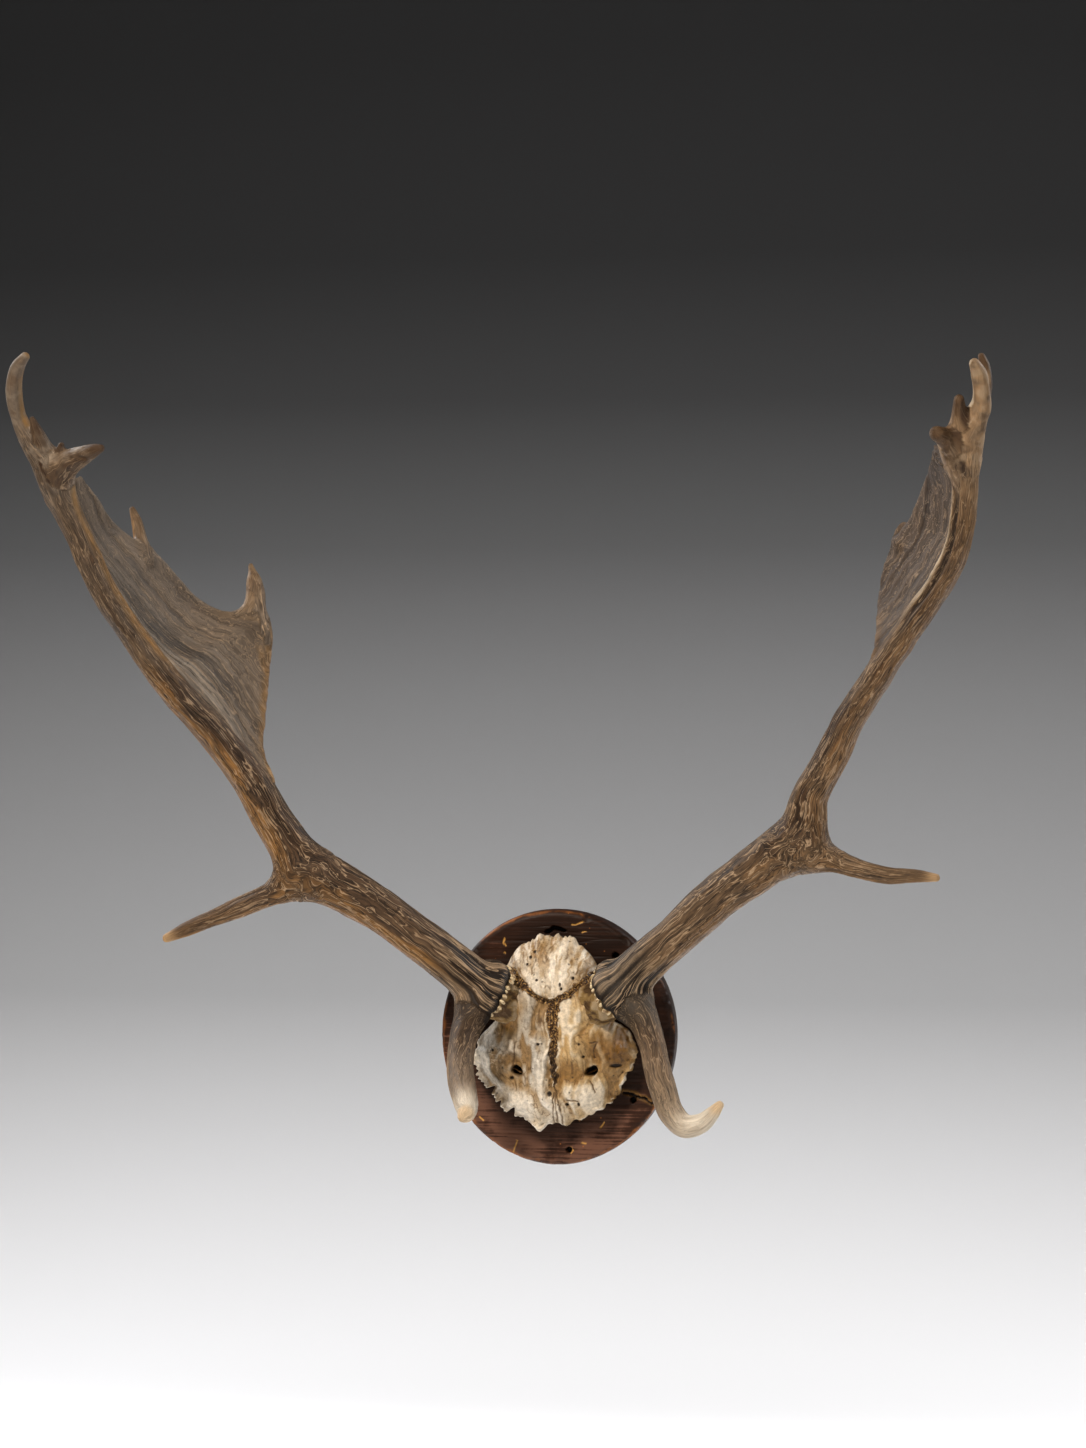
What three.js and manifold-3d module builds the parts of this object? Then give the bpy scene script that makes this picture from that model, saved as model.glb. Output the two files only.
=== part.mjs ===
// Pair of fallow deer antlers on their cut skull plate, fixed to an oval wooden wall plaque.
// Millimetres, +Z up. The origin is the centre of the plaque's back face, which lies on the wall.
// +Y goes into the wall, -Y into the room, and left and right are the viewer's.
import * as THREE from "three";
import { mergeVertices } from "three/addons/utils/BufferGeometryUtils.js";
import Module from "manifold-3d";

const wasm = await Module();
wasm.setup();

// Driving dimensions
const GAP = 0.3;
const PLAQUE = { width: 173, height: 187, thick: 20, chamfer: 5, segments: 60 };
// Nail holes left open in the plaque's face: x, z and diameter.
const NAIL_HOLES = [
  [42, 60, 4.5],
  [55, -46.5, 4],
  [7, -84.5, 4],
];
const NAIL_HOLE_DEPTH = 8;
// A drying crack in the plaque's face, from its inner end to its outer end.
const CRACK = { from: [48, -40.5], to: [72, -49], width: 1, depth: 6 };

// Skull plate: its rim seen from the front, as x and z, clockwise from the top.
const SKULL_CENTRE = [0, 2];
const SKULL_RIM = [
  [-1, 76], [8, 74], [18, 67], [26, 60], [32, 49], [35, 28], [42, 13], [54, 5], [60, -8], [56, -22],
  [47, -36], [40, -46], [30, -55], [15, -61], [6, -65], [-3, -63], [-13, -70], [-24, -60], [-39, -54],
  [-46, -43], [-57, -31], [-62, -15], [-57, 0], [-45, 12], [-39, 27], [-38, 51], [-30, 65], [-19, 72],
];
const SKULL = {
  crown: 38, // height of the vault over the plaque
  rim: 11, // height of the free edge over the plaque
  edge: 5, // thickness of the bone at the free edge
  lip: 0.97, // size of the rim's back edge against its front edge
  foot: 0.8, // size of the base on the plaque against the rim
  fullness: 2.4, // how late the vault falls away towards the rim
  segments: 36,
};
// Rings of the vault from its middle to the rim, as shares of the rim's radius.
const VAULT_RINGS = [0.25, 0.5, 0.7, 0.84, 0.94, 1];
// Supraorbital holes: x, z, half width and half height.
const FORAMINA = [
  [-27, -23, 5, 3.6],
  [28.5, -23, 5.4, 4.2],
];
const FORAMEN_DEPTH = 12;
// Sutures between the skull's bones, as x and z.
const SUTURES = [
  [[-29, 49], [-20, 38.5], [-8, 30.5], [1.5, 27], [14, 34], [29, 49]],
  [[1.5, 27], [0.5, 15], [1.5, -2], [1.5, -18], [2, -33], [0.5, -58]],
];
const SUTURE_WIDTH = 3;
// Pedicles: the stalks of bone under the antlers. The seat of the antler is cut gap stations short of it,
// with a cutter that is wider than the stalk by grow.
const PEDICLE = { radius: 17, root: 20, lean: 0.5, drop: 3, gap: 0.02, grow: 2 };

// Coronet: the burr round the foot of each antler, with its ring of pearls.
const CORONET = { station: 1.1, radius: 26, half: 6.5, pearls: 12, pearl: 3.2, segments: 48 };
// Station where the beam meets the pedicle under the coronet.
const BURR_SEAT = 0.5;

// Gutters that run along the beam.
const FLUTE = { count: 6, depth: 0.9, twist: 1.6 };

// Each limb is a row of stations, x, y, z and radius, from its root to its tip.
// main runs from the coronet along the beam and the palm's leading edge to the top tine.
// fork is the station where the trez tine leaves, and palm the stretch that carries the blade.
const ANTLERS = {
  left: {
    side: -1,
    fork: 6,
    main: [
      [-31, -47, 26, 17.6], [-43, -56, 31, 17.6], [-61, -66, 47, 16.4], [-89, -75, 70, 15.7],
      [-119, -82, 93, 15.7], [-148, -88, 111, 17.5], [-175, -94, 128, 17.8], [-195, -104, 158, 14.5],
      [-208, -118, 186, 13.4], [-231, -140, 224, 11.5], [-253, -164, 254, 10.7], [-272, -190, 286, 9.8],
      [-289, -220, 323, 9], [-300, -242, 359, 9.3], [-309, -260, 389, 10.2], [-314, -271, 408, 9.9],
      [-322, -279, 421, 7.5], [-329, -288, 440, 5.3], [-329, -297, 456, 5.6], [-324, -305, 470, 4.9],
      [-317, -310, 477, 3],
    ],
    brow: [
      [-49, -62, 30, 14.6], [-57, -78, 15, 12], [-60, -94, 0, 10.6], [-58, -112, -14, 10],
      [-52, -134, -27, 9.6], [-46, -154, -35, 8.4], [-43, -168, -40, 5.9], [-44, -175, -42, 3.5],
    ],
    trez: [
      [-166, -92, 124, 17], [-184, -96, 115, 12.8], [-198, -99, 109, 9.8], [-218, -104, 100, 7.5],
      [-240, -108, 91, 6], [-261, -112, 82, 5.1], [-274, -115, 76, 2.9],
    ],
    palm: {
      from: 8,
      to: 14,
      trail: [
        [-195, -116, 190], [-206, -104, 213], [-207, -95, 238], [-206, -89, 264], [-205, -87, 289],
        [-208, -89, 308], [-230, -98, 310], [-250, -111, 319], [-263, -126, 336], [-275, -142, 352],
        [-289, -157, 363], [-299, -173, 374], [-304, -195, 389], [-309, -214, 402],
      ],
    },
    points: {
      lowSpeller: [
        [-216, -92, 299, 11], [-213, -87, 319, 8], [-216, -82, 333, 5.1], [-219, -79, 343, 3.3],
        [-221, -77, 348, 1.8],
      ],
      highSpeller: [
        [-279, -148, 349, 8.6], [-285, -145, 364, 5.7], [-289, -141, 377, 4], [-293, -138, 386, 2.2],
      ],
      beak: [[-310, -268, 404, 10.9], [-295, -282, 411, 8.4], [-278, -296, 415, 5], [-267, -305, 415, 2.5]],
      spur: [[-319, -277, 417, 5.4], [-320, -285, 427, 3.7], [-320, -291, 434, 2]],
    },
  },
  right: {
    side: 1,
    fork: 6,
    main: [
      [30, -47, 26, 17.6], [47, -56, 33, 17.5], [62, -66, 51, 16.3], [93, -75, 79, 14.8],
      [124, -82, 107, 16.1], [159, -88, 132, 17.3], [184, -94, 152, 17], [192, -104, 180, 12.8],
      [207, -118, 206, 11.6], [224, -140, 238, 10.3], [246, -164, 269, 9.6], [269, -190, 301, 9.1],
      [292, -220, 333, 8.7], [301, -240, 354, 8.2], [305, -258, 383, 9.2], [305, -271, 406, 10.1],
      [311, -280, 424, 7.8], [316, -289, 440, 5.5], [315, -298, 455, 5.5], [312, -305, 462, 3.5],
    ],
    brow: [
      [47, -62, 31, 14.5], [67, -77, 22, 11.9], [77, -92, 5, 9.7], [83, -107, -11, 9.6],
      [90, -122, -27, 9.6], [97, -136, -41, 9.1], [108, -147, -49, 8.4], [120, -155, -46, 6.9],
      [128, -161, -39, 5.1], [134, -165, -32, 2.8],
    ],
    trez: [
      [174, -92, 147, 16], [191, -96, 139, 12], [207, -99, 135, 8.7], [227, -104, 129, 6.6],
      [248, -108, 125, 5.8], [268, -112, 125, 4.4], [281, -115, 124, 2.4],
    ],
    palm: {
      from: 9.6,
      to: 14.6,
      trail: [
        [234, -150, 266], [240, -120, 285], [241, -104, 305], [242, -98, 323], [246, -100, 344],
        [253, -108, 360], [263, -122, 371], [271, -144, 386], [278, -168, 400], [284, -206, 417],
      ],
    },
    points: {
      speller: [[254, -112, 355, 7.7], [256, -98, 366, 5.3], [257, -84, 371, 3.2], [258, -76, 373, 2.1]],
      beak: [[301, -268, 406, 9.1], [293, -286, 416, 6.1], [288, -300, 418, 4.8]],
      shortTine: [[307, -276, 418, 8.4], [304, -288, 431, 5.5], [304, -297, 440, 3.2]],
      rearTine: [[316, -284, 436, 4.8], [319, -282, 451, 4.2], [318, -282, 463, 3.6], [316, -283, 469, 2.5]],
    },
  },
};
// Palm blade: half thickness at the leading edge and at the trailing edge, and hollow of the inner face
// as a share of the blade's width.
const BLADE = { root: 6.5, edge: 2.4, hollow: 0.11, sides: 12, rings: 22 };

const COLOURS = { antler: 0x8c7a62, bone: 0xcfc1a2, wood: 0x3b2118 };

// A closed geometry as a solid that can be joined and cut.
function solidOf(geometry) {
  const bare = geometry.clone();
  bare.deleteAttribute("normal");
  bare.deleteAttribute("uv");
  const merged = mergeVertices(bare, 1e-3);
  const vertProperties = new Float32Array(merged.attributes.position.array);
  const triVerts = new Uint32Array(merged.index.array);
  return new wasm.Manifold(new wasm.Mesh({ numProp: 3, vertProperties, triVerts }));
}

// A named mesh of a solid, with its own material.
function meshOf(name, solid, colour, roughness) {
  const { vertProperties, triVerts } = solid.getMesh();
  const geometry = new THREE.BufferGeometry();
  geometry.setAttribute("position", new THREE.BufferAttribute(new Float32Array(vertProperties), 3));
  geometry.setIndex(new THREE.BufferAttribute(new Uint32Array(triVerts), 1));
  geometry.computeVertexNormals();
  const material = new THREE.MeshStandardMaterial({ color: colour, roughness, metalness: 0 });
  const mesh = new THREE.Mesh(geometry, material);
  mesh.name = name;
  return mesh;
}

// Every point of a geometry put where move(point) says.
function reshape(geometry, move) {
  const positions = geometry.attributes.position;
  const point = new THREE.Vector3();
  for (let i = 0; i < positions.count; i += 1) {
    point.fromBufferAttribute(positions, i);
    const moved = move(point);
    positions.setXYZ(i, moved.x, moved.y, moved.z);
  }
  return geometry;
}

function pathOf(stations) {
  return new THREE.CatmullRomCurve3(stations.map(([x, y, z]) => new THREE.Vector3(x, y, z)));
}

// Radius of a limb at a station number that may lie between two stations.
function radiusAt(stations, station) {
  const before = Math.min(Math.floor(station), stations.length - 2);
  return THREE.MathUtils.lerp(stations[before][3], stations[before + 1][3], station - before);
}

// Directions across a path: outward keeps to the wall's side, and across is square to it.
function crossFrame(tangent) {
  const outward = new THREE.Vector3(0, 1, 0).addScaledVector(tangent, -tangent.y).normalize();
  const across = new THREE.Vector3().crossVectors(tangent, outward);
  return { across, outward };
}

// A round limb along its stations, thicker by grow, with gutters if fluted.
function limb(stations, { from = 0, to = stations.length - 1, sides, rings, fluted = false, grow = 0 }) {
  const path = pathOf(stations);
  const last = stations.length - 1;
  const bar = new THREE.CylinderGeometry(1, 1, 1, sides, rings);
  return solidOf(reshape(bar, ({ x, y, z }) => {
    const station = THREE.MathUtils.lerp(from, to, y + 0.5);
    const { across, outward } = crossFrame(path.getTangent(station / last));
    const phase = FLUTE.count * Math.atan2(z, x) + FLUTE.twist * station;
    const gutter = fluted ? FLUTE.depth * Math.cos(phase) : 0;
    const radius = radiusAt(stations, station) + gutter + grow;
    const centre = path.getPoint(station / last);
    return centre.addScaledVector(across, x * radius).addScaledVector(outward, z * radius);
  }));
}

// A flat round disc on the foot of a beam, with its rim drawn out into pearls.
function coronet(stations, { radius, half, pearl, segments }) {
  const path = pathOf(stations);
  const at = CORONET.station / (stations.length - 1);
  const turn = new THREE.Quaternion().setFromUnitVectors(new THREE.Vector3(0, 1, 0), path.getTangent(at));
  const centre = path.getPoint(at);
  const disc = new THREE.SphereGeometry(1, segments, 6);
  return solidOf(reshape(disc, ({ x, y, z }) => {
    const bulge = pearl * Math.abs(Math.cos((CORONET.pearls / 2) * Math.atan2(z, x)));
    const reach = radius - pearl + bulge;
    return new THREE.Vector3(x * reach, y * half, z * reach).applyQuaternion(turn).add(centre);
  }));
}

// Room that the coronet's neighbours leave for it.
const coronetRoom = (stations) =>
  coronet(stations, { radius: CORONET.radius + 1, half: CORONET.half + GAP, pearl: 0, segments: 20 });

// The largest of the bodies that a cut leaves.
const largest = (solid) => solid.decompose().reduce((a, b) => (a.volume() > b.volume() ? a : b));

// The palm's blade, a thin sheet from the leading edge to the trailing edge, hollow on its inner face.
function blade({ main, palm, side }) {
  const lead = pathOf(main);
  const trail = pathOf(palm.trail);
  const leadAt = (t) => lead.getPoint(THREE.MathUtils.lerp(palm.from, palm.to, t) / (main.length - 1));
  const middleAt = (t) => leadAt(t).lerp(trail.getPoint(t), 0.5);
  const step = 0.02;
  const sheet = new THREE.CylinderGeometry(1, 1, 1, BLADE.sides, BLADE.rings);
  return solidOf(reshape(sheet, ({ x, y, z }) => {
    const t = y + 0.5;
    const start = leadAt(t);
    const chord = trail.getPoint(t).sub(start);
    const along = middleAt(Math.min(t + step, 1)).sub(middleAt(Math.max(t - step, 0)));
    const normal = new THREE.Vector3().crossVectors(chord, along).normalize();
    const reach = (x + 1) / 2;
    const half = THREE.MathUtils.lerp(BLADE.root, BLADE.edge, reach);
    const hollow = side * BLADE.hollow * chord.length() * (1 - x * x);
    return start.addScaledVector(chord, reach).addScaledVector(normal, half * z + hollow);
  }));
}

// One antler, parted at its main forks into beam, brow tine, trez tine and palm.
function antler(name, { side, fork, main, brow, trez, palm, points }) {
  const stationPoint = (station) => new THREE.Vector3(...main[station].slice(0, 3));
  const forkGap = GAP / stationPoint(fork).distanceTo(stationPoint(fork + 1));
  const lower = { sides: 18, rings: 12, from: BURR_SEAT, to: fork, fluted: true };
  const upper = { sides: 10, rings: 25, from: fork };
  const beam = limb(main, lower).add(coronet(main, CORONET));
  const barRoom = limb(main, { ...lower, grow: GAP }).add(limb(main, { ...upper, grow: GAP }));
  const room = barRoom.add(coronetRoom(main));
  let blades = limb(main, { ...upper, from: fork + forkGap }).add(blade({ main, palm, side }));
  for (const point of Object.values(points)) {
    blades = blades.add(limb(point, { sides: 7, rings: 4 }));
  }
  return {
    [`${name}_beam`]: beam,
    [`${name}_brow_tine`]: largest(limb(brow, { sides: 12, rings: 12 }).subtract(room)),
    [`${name}_trez_tine`]: largest(limb(trez, { sides: 10, rings: 9 }).subtract(room)),
    [`${name}_palm`]: blades,
  };
}

// Height of the skull's outer face over the plaque, for a share of the way from its middle to its rim.
function vaultHeight(share) {
  return SKULL.rim + (SKULL.crown - SKULL.rim) * Math.sqrt(Math.max(0, 1 - share ** SKULL.fullness));
}

// Rim of the skull as a distance from its centre at an angle.
const rimRadius = (() => {
  const [cx, cz] = SKULL_CENTRE;
  const polar = SKULL_RIM.map(([x, z]) => {
    return { angle: Math.atan2(z - cz, x - cx), radius: Math.hypot(x - cx, z - cz) };
  });
  polar.sort((a, b) => a.angle - b.angle);
  return (angle) => {
    const next = polar.findIndex((corner) => corner.angle > angle);
    const after = polar[next < 0 ? 0 : next];
    const before = polar[(next < 1 ? polar.length : next) - 1];
    const turn = 2 * Math.PI;
    const span = (after.angle - before.angle + turn) % turn;
    const part = ((angle - before.angle + turn) % turn) / span;
    return THREE.MathUtils.lerp(before.radius, after.radius, part);
  };
})();

// A point over the plaque, from x, z and its height over the plaque's face.
const overPlaque = (x, z, height) => new THREE.Vector3(x, -PLAQUE.thick - height, z);

// A point on the skull's outer face.
function onVault(x, z) {
  const [cx, cz] = SKULL_CENTRE;
  const share = Math.hypot(x - cx, z - cz) / rimRadius(Math.atan2(z - cz, x - cx));
  return overPlaque(x, z, vaultHeight(share));
}

// The skull's vault: a dome with a free edge that stands over its smaller base.
function vault() {
  const outer = VAULT_RINGS.map((share) => [share, vaultHeight(share)]);
  const back = SKULL.rim - SKULL.edge;
  const under = [[SKULL.lip, back], [SKULL.foot, back], [SKULL.foot, GAP]];
  const rings = [[0, SKULL.crown], ...outer, ...under, [0, GAP]];
  const profile = rings.map(([share, height]) => new THREE.Vector2(share, height)).reverse();
  const dome = new THREE.LatheGeometry(profile, SKULL.segments);
  const [cx, cz] = SKULL_CENTRE;
  return solidOf(reshape(dome, ({ x, y, z }) => {
    const angle = Math.atan2(-z, x);
    const reach = Math.hypot(x, z) * rimRadius(angle);
    return overPlaque(cx + reach * Math.cos(angle), cz + reach * Math.sin(angle), y);
  }));
}

// The skull plate with its pedicles, sutures and supraorbital holes.
function skullPlate() {
  let skull = vault();
  for (const { main } of Object.values(ANTLERS)) {
    const [x, , z] = main[0];
    const foot = [x * PEDICLE.lean, -PLAQUE.thick - PEDICLE.root, z - PEDICLE.drop, PEDICLE.radius];
    const stalk = [foot, ...main.slice(0, 2).map((place) => [...place.slice(0, 3), PEDICLE.radius])];
    const seat = BURR_SEAT - PEDICLE.gap;
    const beyond = limb(main, { from: seat, to: 2, sides: 12, rings: 4, grow: PEDICLE.grow });
    skull = skull.add(limb(stalk, { sides: 14, rings: 4 })).subtract(coronetRoom(main)).subtract(beyond);
  }
  for (const suture of SUTURES) {
    const line = suture.map(([x, z]) => [...onVault(x, z).toArray(), SUTURE_WIDTH / 2]);
    skull = skull.subtract(limb(line, { sides: 5, rings: 8 }));
  }
  for (const [x, z, halfWidth, halfHeight] of FORAMINA) {
    const hole = new THREE.SphereGeometry(1, 10, 6);
    hole.scale(halfWidth, FORAMEN_DEPTH, halfHeight);
    const { y } = onVault(x, z);
    hole.translate(x, y, z);
    skull = skull.subtract(solidOf(hole));
  }
  return largest(skull);
}

// The oval plaque with its chamfered front edge, nail holes and drying crack.
function plaque() {
  const radius = PLAQUE.height / 2;
  const profile = [
    [0, 0],
    [radius, 0],
    [radius, PLAQUE.thick - PLAQUE.chamfer],
    [radius - PLAQUE.chamfer, PLAQUE.thick],
    [0, PLAQUE.thick],
  ].map(([reach, depth]) => new THREE.Vector2(reach, depth));
  const board = new THREE.LatheGeometry(profile, PLAQUE.segments);
  board.rotateX(Math.PI);
  board.scale(PLAQUE.width / PLAQUE.height, 1, 1);
  const [startX, startZ] = CRACK.from;
  const [endX, endZ] = CRACK.to;
  const crack = new THREE.BoxGeometry(Math.hypot(endX - startX, endZ - startZ), 2 * CRACK.depth, CRACK.width);
  crack.rotateY(-Math.atan2(endZ - startZ, endX - startX));
  crack.translate((startX + endX) / 2, -PLAQUE.thick, (startZ + endZ) / 2);
  return NAIL_HOLES.reduce((solid, [x, z, diameter]) => {
    const hole = new THREE.CylinderGeometry(diameter / 2, diameter / 2, 2 * NAIL_HOLE_DEPTH, 8);
    hole.translate(x, -PLAQUE.thick, z);
    return solid.subtract(solidOf(hole));
  }, solidOf(board).subtract(solidOf(crack)));
}

const group = new THREE.Group();
group.add(meshOf("plaque", plaque(), COLOURS.wood, 0.45));
group.add(meshOf("skull_plate", skullPlate(), COLOURS.bone, 0.65));
for (const [name, shape] of Object.entries(ANTLERS)) {
  for (const [node, solid] of Object.entries(antler(name, shape))) {
    group.add(meshOf(node, solid, COLOURS.antler, 0.6));
  }
}

export default group;
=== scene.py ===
"""Fallow deer antlers on their cut skull plate and oval wall plaque, dressed for the studio.

Lengths in this file are millimetres unless a name ends in _m. The meshes are made in metres in the
part's own frame: +Z up, +Y into the wall, and left and right are the viewer's.
"""
import logging
import math
from dataclasses import dataclass
from enum import Enum, IntEnum
from typing import Any, Sequence

import bpy
import numpy as np
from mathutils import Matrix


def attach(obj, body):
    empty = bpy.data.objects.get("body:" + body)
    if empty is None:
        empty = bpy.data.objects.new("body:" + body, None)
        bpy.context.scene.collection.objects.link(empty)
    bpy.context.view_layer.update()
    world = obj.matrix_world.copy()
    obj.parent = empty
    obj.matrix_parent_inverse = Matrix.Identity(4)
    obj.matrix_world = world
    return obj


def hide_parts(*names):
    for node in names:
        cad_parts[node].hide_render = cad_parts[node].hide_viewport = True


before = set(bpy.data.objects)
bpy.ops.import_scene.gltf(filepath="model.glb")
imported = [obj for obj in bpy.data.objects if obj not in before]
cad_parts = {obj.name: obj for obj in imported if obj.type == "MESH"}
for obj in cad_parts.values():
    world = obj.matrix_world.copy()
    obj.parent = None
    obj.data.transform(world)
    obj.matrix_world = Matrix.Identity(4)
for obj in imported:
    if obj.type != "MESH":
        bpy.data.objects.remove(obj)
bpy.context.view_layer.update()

import openvdb

MM = 0.001
LOG = logging.getLogger("antlers")

Array = np.ndarray
# A point is x, y and z, a station of a limb has its radius too, and a place on the plaque is x and z.
# A span goes from the value where a change begins to the value where it is full.
Point = tuple[float, float, float]
Station = tuple[float, float, float, float]
Place = tuple[float, float]
Span = tuple[float, float]


class Side(Enum):
    """The viewer's side that an antler grows on, with its sign along X."""

    LEFT = -1
    RIGHT = 1


class Part(IntEnum):
    """Which piece of an antler a patch of its surface grew from."""

    BEAM = 0
    BROW = 1
    TREZ = 2
    PALM = 3
    POINT = 4
    STALK = 5


# Numbers and noise

# Large numbers that scramble a lattice cell and a seed into a random value of 32 bits.
CELL_FACTORS = np.array([73856093, 19349663, 83492791])
SEED_FACTOR = 668265263
SCRAMBLES = ((13, 1274126177), (16, 2246822519))
LOW_BITS = 0xFFFFFFFF


def smooth(low: float, high: float, value: Array) -> Array:
    """Eases from 0 at low to 1 at high.

    Args:
        low: Value that gives 0.
        high: Value that gives 1.
        value: Values to ease.

    Returns:
        The eased values, between 0 and 1.
    """
    share = np.clip((value - low) / (high - low), 0.0, 1.0)
    return share * share * (3.0 - 2.0 * share)


def lattice_noise(points: Array, seed: int) -> Array:
    """Smooth random values on a unit lattice.

    Args:
        points: Places, one row each, in lattice steps.
        seed: Picks the random values.

    Returns:
        One value from -1 to 1 for each place.
    """
    cell = np.floor(points).astype(np.int64)
    part = points - cell
    ease = part * part * part * (part * (part * 6.0 - 15.0) + 10.0)
    total = np.zeros(len(points))
    for corner in range(8):
        step = np.array([(corner >> axis) & 1 for axis in range(3)])
        key = (cell + step) * CELL_FACTORS
        mixed = (key[:, 0] ^ key[:, 1] ^ key[:, 2]) + seed * SEED_FACTOR
        for shift, factor in SCRAMBLES:
            mixed = ((mixed ^ (mixed >> shift)) * factor) & LOW_BITS
        weight = np.prod(np.where(step == 1, ease, 1.0 - ease), axis=1)
        total += weight * ((mixed >> 8) / float(1 << 23) - 1.0)
    return total


def rough_noise(points: Array, seed: int, octaves: int = 3) -> Array:
    """Lattice noise with finer layers added.

    Args:
        points: Places, one row each, in lattice steps of the coarsest layer.
        seed: Picks the random values.
        octaves: How many layers are added up.

    Returns:
        One value of about -1 to 1 for each place.
    """
    layers = [lattice_noise(points * 2.0**i + 17.3 * i, seed + i) * 0.5**i for i in range(octaves)]
    return np.sum(layers, axis=0)


def spline(stations: Array, at: Array) -> Array:
    """Smooth curve through stations, paced by the square roots of the distances between them.

    Args:
        stations: Points of the curve, one row each.
        at: Station numbers, which may lie between two stations.

    Returns:
        One point of the curve for each station number.
    """
    first = 2.0 * stations[0] - stations[1]
    last = 2.0 * stations[-1] - stations[-2]
    knots = np.vstack([first, stations, last])
    index = np.clip(np.floor(at).astype(int), 0, len(stations) - 2)
    share = (at - index)[:, None]
    p0, p1, p2, p3 = (knots[index + i] for i in range(4))
    d0, d1, d2 = (
        np.maximum(np.sqrt(np.linalg.norm(b - a, axis=1)), 1e-4)[:, None]
        for a, b in ((p0, p1), (p1, p2), (p2, p3))
    )
    start = ((p1 - p0) / d0 - (p2 - p0) / (d0 + d1) + (p2 - p1) / d1) * d1
    end = ((p2 - p1) / d1 - (p3 - p1) / (d1 + d2) + (p3 - p2) / d2) * d1
    bend = -3.0 * p1 + 3.0 * p2 - 2.0 * start - end
    twist = 2.0 * p1 - 2.0 * p2 + start + end
    return p1 + share * (start + share * (bend + share * twist))


def unit(vectors: Array) -> Array:
    """Vectors of the same directions with length 1."""
    return vectors / np.maximum(np.linalg.norm(vectors, axis=-1, keepdims=True), 1e-9)


def to_line(points: Array, line: Sequence[Place]) -> tuple[Array, Array]:
    """Distance from points to an open line, and how far along it they are.

    Args:
        points: Places in a plane, one row of two numbers each.
        line: Corners of the line.

    Returns:
        Distance to the line, and length along the line to the nearest place on it.
    """
    best = np.full(len(points), 1e9)
    along = np.zeros(len(points))
    run = 0.0
    for a, b in zip(np.array(line[:-1], float), np.array(line[1:], float)):
        span = b - a
        length = float(np.linalg.norm(span))
        share = np.clip((points - a) @ span / length**2, 0.0, 1.0)
        gap = np.linalg.norm(points - a - share[:, None] * span, axis=1)
        closer = gap < best
        best[closer] = gap[closer]
        along[closer] = run + share[closer] * length
        run += length
    return best, along


# Meshes and nodes


def make_piece(name: str, points: Array, faces: Array, values: dict[str, Array]) -> bpy.types.Object:
    """A smooth shaded mesh object with its own point attributes.

    Args:
        name: Name of the piece.
        points: Vertices in millimetres.
        faces: Corners of the four-sided faces, one row each.
        values: Point attributes, one number or a row of three for each vertex.

    Returns:
        The object, at the origin and linked to the scene.
    """
    mesh = bpy.data.meshes.new(name)
    mesh.vertices.add(len(points))
    mesh.vertices.foreach_set("co", (points * MM).astype(np.float32).ravel())
    mesh.loops.add(faces.size)
    mesh.loops.foreach_set("vertex_index", faces.astype(np.int32).ravel())
    mesh.polygons.add(len(faces))
    mesh.polygons.foreach_set("loop_start", np.arange(0, faces.size, 4, dtype=np.int32))
    mesh.update(calc_edges=True)
    mesh.validate()
    mesh.shade_smooth()
    for key, value in values.items():
        kind, field = ("FLOAT", "value") if value.ndim == 1 else ("FLOAT_VECTOR", "vector")
        attribute = mesh.attributes.new(key, kind, "POINT")
        attribute.data.foreach_set(field, value.astype(np.float32).ravel())
    piece = bpy.data.objects.new(name, mesh)
    bpy.context.collection.objects.link(piece)
    return piece


def ring_faces(rings: int, sides: int) -> Array:
    """Faces between rings of vertices that are listed one ring after the other.

    Args:
        rings: Number of rings.
        sides: Vertices of each ring.

    Returns:
        Corners of the faces, one row each.
    """
    ring, side = np.meshgrid(np.arange(rings - 1), np.arange(sides), indexing="ij")
    after = (side + 1) % sides
    this = ring * sides
    following = this + sides
    corners = [this + side, this + after, following + after, following + side]
    return np.stack(corners, axis=-1).reshape(-1, 4)


def feed(tree: bpy.types.NodeTree, node: Any, inputs: dict[Any, Any]) -> None:
    """Sets inputs of a node, or links them.

    Args:
        tree: Node tree that the node is in.
        node: The node.
        inputs: Input name or number to a value, or to the socket that feeds it.
    """
    for key, value in inputs.items():
        if isinstance(value, bpy.types.NodeSocket):
            tree.links.new(value, node.inputs[key])
        else:
            node.inputs[key].default_value = value


def add(tree: bpy.types.NodeTree, kind: str, inputs: dict[Any, Any] | None = None, **settings: Any) -> Any:
    """Adds a node with its settings, input values and links.

    Args:
        tree: Node tree that gets the node.
        kind: Type name of the node.
        inputs: Input name or number to a value, or to the socket that feeds it.
        **settings: Properties of the node; stops sets a colour ramp as pairs of place and hex colour.

    Returns:
        The new node.
    """
    node = tree.nodes.new(kind)
    stops = settings.pop("stops", ())
    for key, value in settings.items():
        setattr(node, key, value)
    for number, (place, colour) in enumerate(stops):
        elements = node.color_ramp.elements
        stop = elements[number] if number < 2 else elements.new(place)
        stop.position = place
        stop.color = linear(colour)
    feed(tree, node, inputs or {})
    return node


def srgb(colour: str) -> Array:
    """The sRGB values of a hex colour, from 0 to 1."""
    return np.array([int(colour[i:i + 2], 16) / 255.0 for i in (1, 3, 5)])


def to_light(shade: Array) -> Array:
    """Turns sRGB values to linear light."""
    return np.where(shade <= 0.04045, shade / 12.92, ((shade + 0.055) / 1.055) ** 2.4)


def linear(colour: str) -> tuple[float, ...]:
    """A hex colour in linear light with full alpha."""
    return (*to_light(srgb(colour)).tolist(), 1.0)


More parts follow.
